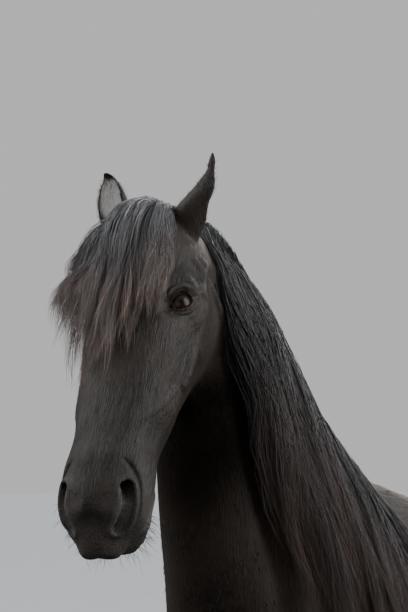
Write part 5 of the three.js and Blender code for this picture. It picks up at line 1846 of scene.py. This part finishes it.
def add_tail(material):
    random = np.random.default_rng(SEEDS["tail"])
    count, locks = TAIL["strands"], TAIL["locks"]
    for piece in range(TAIL["pieces"]):
        lock = random.integers(0, locks, count)
        lock_angle = (np.arange(locks) + random.random(locks)) / locks * 2 * np.pi
        lock_reach = TAIL["reach"] * np.sqrt(0.12 + 0.88 * random.random(locks))
        phase = random.random((2, locks)) * 2 * np.pi
        lock_tip = 170 * random.random(locks)
        own = random.random((4, count)) * 2 * np.pi
        angle = lock_angle[lock] + random.normal(0, 0.16, count)
        behind = (1 - np.cos(angle)) / 2
        at_dock = np.clip(0.16 + 0.5 * (1 - behind) + 0.3 * random.random(count), 0.12, 0.97)
        x, z, radius = along(DOCK, at_dock).T
        reach = lock_reach[lock] + random.normal(0, 7, count)
        tip = TAIL["tips"] + lock_tip[lock] + 130 * random.random(count) ** 2
        front = np.where(np.cos(angle) < 0, TAIL["front"], 1.0)
        way_x, way_y = -np.cos(angle) * front, np.sin(angle)
        stops = []
        for s in (0.0, 0.02, 0.05, 0.1, 0.17, 0.25, 0.34, 0.44, 0.54, 0.64, 0.74, 0.87, 1.0):
            pz = z + (tip - z) * s
            spread = radius + 4 + (reach - radius - 4) * step_between(s, 0, 0.34)
            far = np.where(s == 0, radius - 8, spread) * (1 - 0.62 * max(s - 0.35, 0) ** 1.5)
            px = x + (TAIL["x"] - x) * step_between(s, 0, 0.2)
            fallen = z - pz
            wave = 9 * np.sin(fallen / 88 + phase[0, lock]) * s + (1 + 5 * s) * np.sin(fallen / 27 + own[0])
            sway = 9 * np.sin(fallen / 95 + phase[1, lock]) * s + (1 + 5 * s) * np.sin(fallen / 29 + own[1])
            stops.append(np.stack([px + way_x * far + wave * 0.7, way_y * far * 1.1 + sway, pz], axis=1))
        faces = np.stack([way_x, way_y, 0 * way_x], axis=1)[:, None]
        tail = add_locks(f"tail_hair_{piece}", random, TAIL, stops, faces, own[3], material)
        if piece == 0:
            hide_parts("tail")


# ---------------------------------------------------------------- feather
# reach: how far the hair stands off its middle behind, in front and at the sides; heel: how far behind the
# hoof's middle it hangs
FEATHER = {
    "strands": 900,
    "stations": 10,
    "spread": math.radians(180),
    "heel": 46.0,
    "reach": (88.0, 78.0, 78.0),
    "wide": 1.3,
    "locks": 22,
    "flat": 0.35,
    "scatter": 0.8,
}
# the fetlock's distance from the middle plane, and the hoof's middle along x
FETLOCKS = {"fore": (122.0, 253.0), "hind": (130.0, -984.0)}


def add_feather(end, side, material):
    """Long hair from the back and sides of the lower leg, hanging round the hoof, shorter in front."""
    random = np.random.default_rng(SEEDS["feather"] + side + (10 if end == "hind" else 0))
    count, locks = FEATHER["strands"], FEATHER["locks"]
    fetlock_y, hoof_x = FETLOCKS[end]
    behind, before, beside = FEATHER["reach"]
    lock = random.integers(0, locks, count)
    lock_angle = ((np.arange(locks) + random.random(locks)) / locks - 0.5) * 2 * FEATHER["spread"]
    phase = random.random((2, locks)) * 2 * np.pi
    own = random.random((4, count)) * 2 * np.pi
    angle = lock_angle[lock] + random.normal(0, 0.12, count)
    forward = step_between(np.abs(angle), math.radians(80), math.radians(160))
    high = random.random(count)
    top = (215 + 185 * high**1.2) * (1 - forward) + (106 + 60 * high) * forward
    top_rows = np.array(LEGS[end])[10:]
    at = np.interp(-top, -(top_rows[:, 1] + top_rows[:, 3]) / 2, np.arange(len(top_rows)))
    station = along(top_rows, at / (len(top_rows) - 1))
    front_x, back_x = station[:, 0], station[:, 2]
    middle_x, deep, half = (front_x + back_x) / 2, np.abs(front_x - back_x) / 2, station[:, 5]
    tip = (34 + 60 * (angle / FEATHER["spread"]) ** 2 + 60 * random.random(count) ** 2) * (1 - forward)
    tip = np.maximum(tip + (52 + 26 * random.random(count)) * forward, 8)
    way_x, way_y = -np.cos(angle), np.sin(angle)
    layer = 14 * (random.random(locks)[lock] - 0.5)
    stops = []
    for s in (-0.06, 0.0, 0.1, 0.24, 0.42, 0.62, 0.82, 1.0):
        share = max(s, 0)
        z = top + (tip - top) * share
        ease = share**0.8
        from_x = middle_x + (hoof_x - FEATHER["heel"] - middle_x) * share * (1 - forward)
        from_x = from_x + (hoof_x - middle_x) * share * forward
        out_back = deep + (behind - deep) * ease * (1 - forward) + (before - deep) * ease * forward
        out_side = half + (beside - half) * ease
        off = (layer + 10) * min(share * 4, 1) if s >= 0 else -9
        wave = (5 * np.sin((top - z) / 40 + phase[0, lock]) + 3 * np.sin((top - z) / 14 + own[0])) * share
        sway = (5 * np.sin((top - z) / 44 + phase[1, lock]) + 3 * np.sin((top - z) / 15 + own[1])) * share
        x = from_x + way_x * (out_back + off) + wave + stride_at(end, side, z)
        y = side * (fetlock_y + way_y * (out_side + off) + sway)
        stops.append(np.stack([x, y, z + (12 if s < 0 else 0)], axis=1))
    faces = np.stack([way_x, side * way_y, 0 * way_x], axis=1)[:, None]
    add_locks(f"{end}_feather_{WORDS[side]}", random, FEATHER, stops, faces, own[3], material)


# ---------------------------------------------------------------- lashes and whiskers
LASHES = {"strands": 110, "stations": 7, "wide": 0.34, "long": 13.0}


def add_lashes(material):
    """Stiff lashes along the edge of each upper lid, turned out and down to their tips."""
    random = np.random.default_rng(SEEDS["lashes"])
    count = LASHES["strands"]
    for word, side in SIDES.items():
        a = np.linspace(-16, 19, count) + random.normal(0, 0.4, count)
        inner = np.maximum(1 - np.abs(a / LID["half_long"]) ** LID["pointed"], 0)
        b = LID["upper"] * inner ** (1 / LID["pointed"])
        c = np.sqrt(EYE["radius"] ** 2 - a * a - b * b)
        long = LASHES["long"] * (0.65 + 0.5 * random.random(count)) * (0.6 + 0.4 * np.cos(a / 14))
        fan = 0.35 * a / LID["half_long"] + random.normal(0, 0.08, count)
        stops = []
        for s in (-0.12, 0.0, 0.3, 0.65, 1.0):
            high = b + 1.6 - 2.2 * s + 4 * s * s
            stops.append(np.stack([a + long * fan * s, high, c + 2.0 + long * 0.9 * s], axis=1))
        paths = through(stops, LASHES["stations"]) @ LID_AXES.T + EYE_AT
        paths[..., 1] *= side
        widths = tapered(LASHES["stations"], LASHES["wide"])
        made = strands(paths, LID_UP * (1, side, 1), widths, flatness=0.5, place=from_head)
        add_hair(f"lashes_{word}", made, from_head(paths[:, 0]), random.random(count) * 0.3, material)


# how many, how long, half width, and where in the head's frame they grow: place and radii
WHISKERS = [
    (130, 34.0, 0.34, (556, 34, -150), (40, 34, 22)),  # chin and lower lip
    (90, 24.0, 0.28, (596, 46, -92), (34, 30, 30)),  # upper lip
    (40, 26.0, 0.26, (560, 40, -40), (46, 30, 26)),  # round the nostrils
    (14, 34.0, 0.26, (206, 88, -78), (22, 20, 10)),  # below the eye
]


def picked(random, points, triangles, weights, count):
    """Places spread over a surface as thickly as its triangles' weights say, and the way it looks there."""
    corners = points[triangles]
    way = np.cross(corners[:, 1] - corners[:, 0], corners[:, 2] - corners[:, 0])
    area = np.linalg.norm(way, axis=1)
    chance = area * weights
    chosen = random.choice(len(triangles), count, p=chance / chance.sum())
    share = np.sort(random.random((2, count)), axis=0)
    parts = np.stack([share[0], share[1] - share[0], 1 - share[1]], axis=1)
    return np.einsum("ij,ijk->ik", parts, corners[chosen]), unit(way[chosen])


def add_whiskers(points, triangles, material):
    random = np.random.default_rng(SEEDS["whiskers"])
    face = mirrored(to_head(points[triangles].mean(axis=1)))
    down = HEAD_AXES @ unit(np.array([0.35, 0.0, -0.6]))
    for k, (count, long, wide, at, radii) in enumerate(WHISKERS):
        weights = near(face, at, radii) * (from_mouth(face)[1] < 60)
        roots, out = picked(random, points, triangles, np.where(weights > 0.15, weights, 0), count)
        lengths = (long * (0.35 + 0.75 * random.random(count) ** 1.5))[:, None]
        way = unit(out + 0.35 * random.normal(0, 1, (count, 3)))
        stops = [roots + way * lengths * s + down * lengths * 0.45 * s * s for s in (0.0, 0.35, 0.7, 1.0)]
        stops.insert(0, roots - way * 1.5)
        paths = through(stops, 6)
        faces = unit(np.cross(way, [0.3, 0.5, 0.8]))[:, None]
        made = strands(paths, faces, tapered(6, wide), flatness=0.6)
        add_hair(f"whiskers_{k}", made, roots, random.random(count) * 0.5, material)


# ---------------------------------------------------------------- short coat
# tufts that break the short coat's outline, by where they grow: how many, how long, half width, how far off
TUFTS = {
    "body": (5200, 15.0, 0.75, 0.10),
    "fringe": (3000, 19.0, 0.80, 0.34),
    "face": (2000, 6.0, 0.32, 0.16),
    "ears": (1900, 9.0, 0.34, 0.45),
}
# where the fringe grows: place and radii in the horse's own frame, with y mirrored
FRINGES = [
    ((400, 60, 1060), (110, 130, 120)),  # breast
    ((60, 170, 1000), (60, 60, 70)),  # elbow
    ((-300, 0, 880), (420, 190, 60)),  # belly
    ((110, 150, 820), (36, 50, 170)),  # back of the forearm
    ((-1060, 140, 960), (60, 90, 160)),  # back of the thigh
    ((-1090, 136, 700), (40, 50, 90)),  # back of the hock
]


def tuft_weights(kind, middles):
    """How thickly one kind of tuft grows at each place."""
    face = to_head(middles)
    head = on_head(middles)
    ears = np.zeros(len(middles))
    for side in SIDES.values():
        share, from_edge, sunk, _ = cup_of(middles, side)
        near_ear = (face[:, 1] * side > 0) & (share > 0.02) & (share < 0.86) & (np.abs(sunk) < 14)
        ears += np.where(near_ear, 0.08 + bell(from_edge / 14), 0) * (face[:, 0] < 30)
    if kind == "ears":
        return ears
    clear = (ears == 0) & (middles[:, 2] > 110)
    if kind == "face":
        clear = clear & (np.linalg.norm(mirrored(face) - EYE_AT, axis=1) > 46)
        return head * clear * step_between(face[:, 0], 20, 60) * (1 - step_between(face[:, 0], 470, 560))
    if kind == "body":
        return (1 - head) * clear
    fringe = sum(near(mirrored(middles), at, radii) for at, radii in FRINGES)
    jaw = near(mirrored(face), (200, 30, -262), (170, 60, 34))
    return (fringe + 1.2 * jaw) * clear


def add_tufts(points, triangles, material):
    """Flat tufts that lie with the coat, longest along the breast, belly, jaw and the backs of the legs."""
    random = np.random.default_rng(SEEDS["tufts"])
    middles = points[triangles].mean(axis=1)
    for kind, (count, long, wide, off) in TUFTS.items():
        roots, out = picked(random, points, triangles, tuft_weights(kind, middles), count)
        kept = marks(roots)
        toward = np.outer(kept["lies_back"], (-1.0, 0.0, -0.45))
        toward += np.outer(kept["lies_down"], (-0.2, 0.0, -1.0))
        toward += np.outer(kept["lies_on_face"], HEAD_AXES @ (1.0, 0.0, -0.15))
        if kind == "ears":
            toward = np.broadcast_to(HEAD_AXES @ (-0.55, 0.0, 0.85), roots.shape)
        toward = toward + 0.16 * random.normal(0, 1, roots.shape)
        flat = unit(toward - out * (toward * out).sum(axis=1, keepdims=True))
        lengths = (long * (0.6 + 0.7 * random.random(count)))[:, None]
        middle = roots + flat * lengths * 0.5 + out * (0.5 + off * 0.35 * lengths)
        paths = np.stack([roots - out * 1.2, middle, roots + flat * lengths + out * off * lengths], axis=1)
        made = strands(paths, out[:, None], uneven(random, 3, wide, count), flatness=0.4)
        tuft = add_hair(f"tufts_{kind}", made, roots, random.random(count), material, "coat")
        for name, values in kept.items():
            store(tuft, name, np.repeat(values, made[3]))


# ---------------------------------------------------------------- all of it
def main():
    make_camera()
    make_studio()
    coat = coat_material()
    points, triangles = add_skin(coat)
    add_tufts(points, triangles, coat)
    add_eyes()
    add_hooves()
    long_hair, forelock, stiff = (hair_material(name) for name in HAIRS)
    add_mane(long_hair)
    add_forelock(forelock)
    add_tail(long_hair)
    for end, side in STRIDES:
        add_feather(end, side, long_hair)
    add_lashes(stiff)
    add_whiskers(points, triangles, stiff)


main()
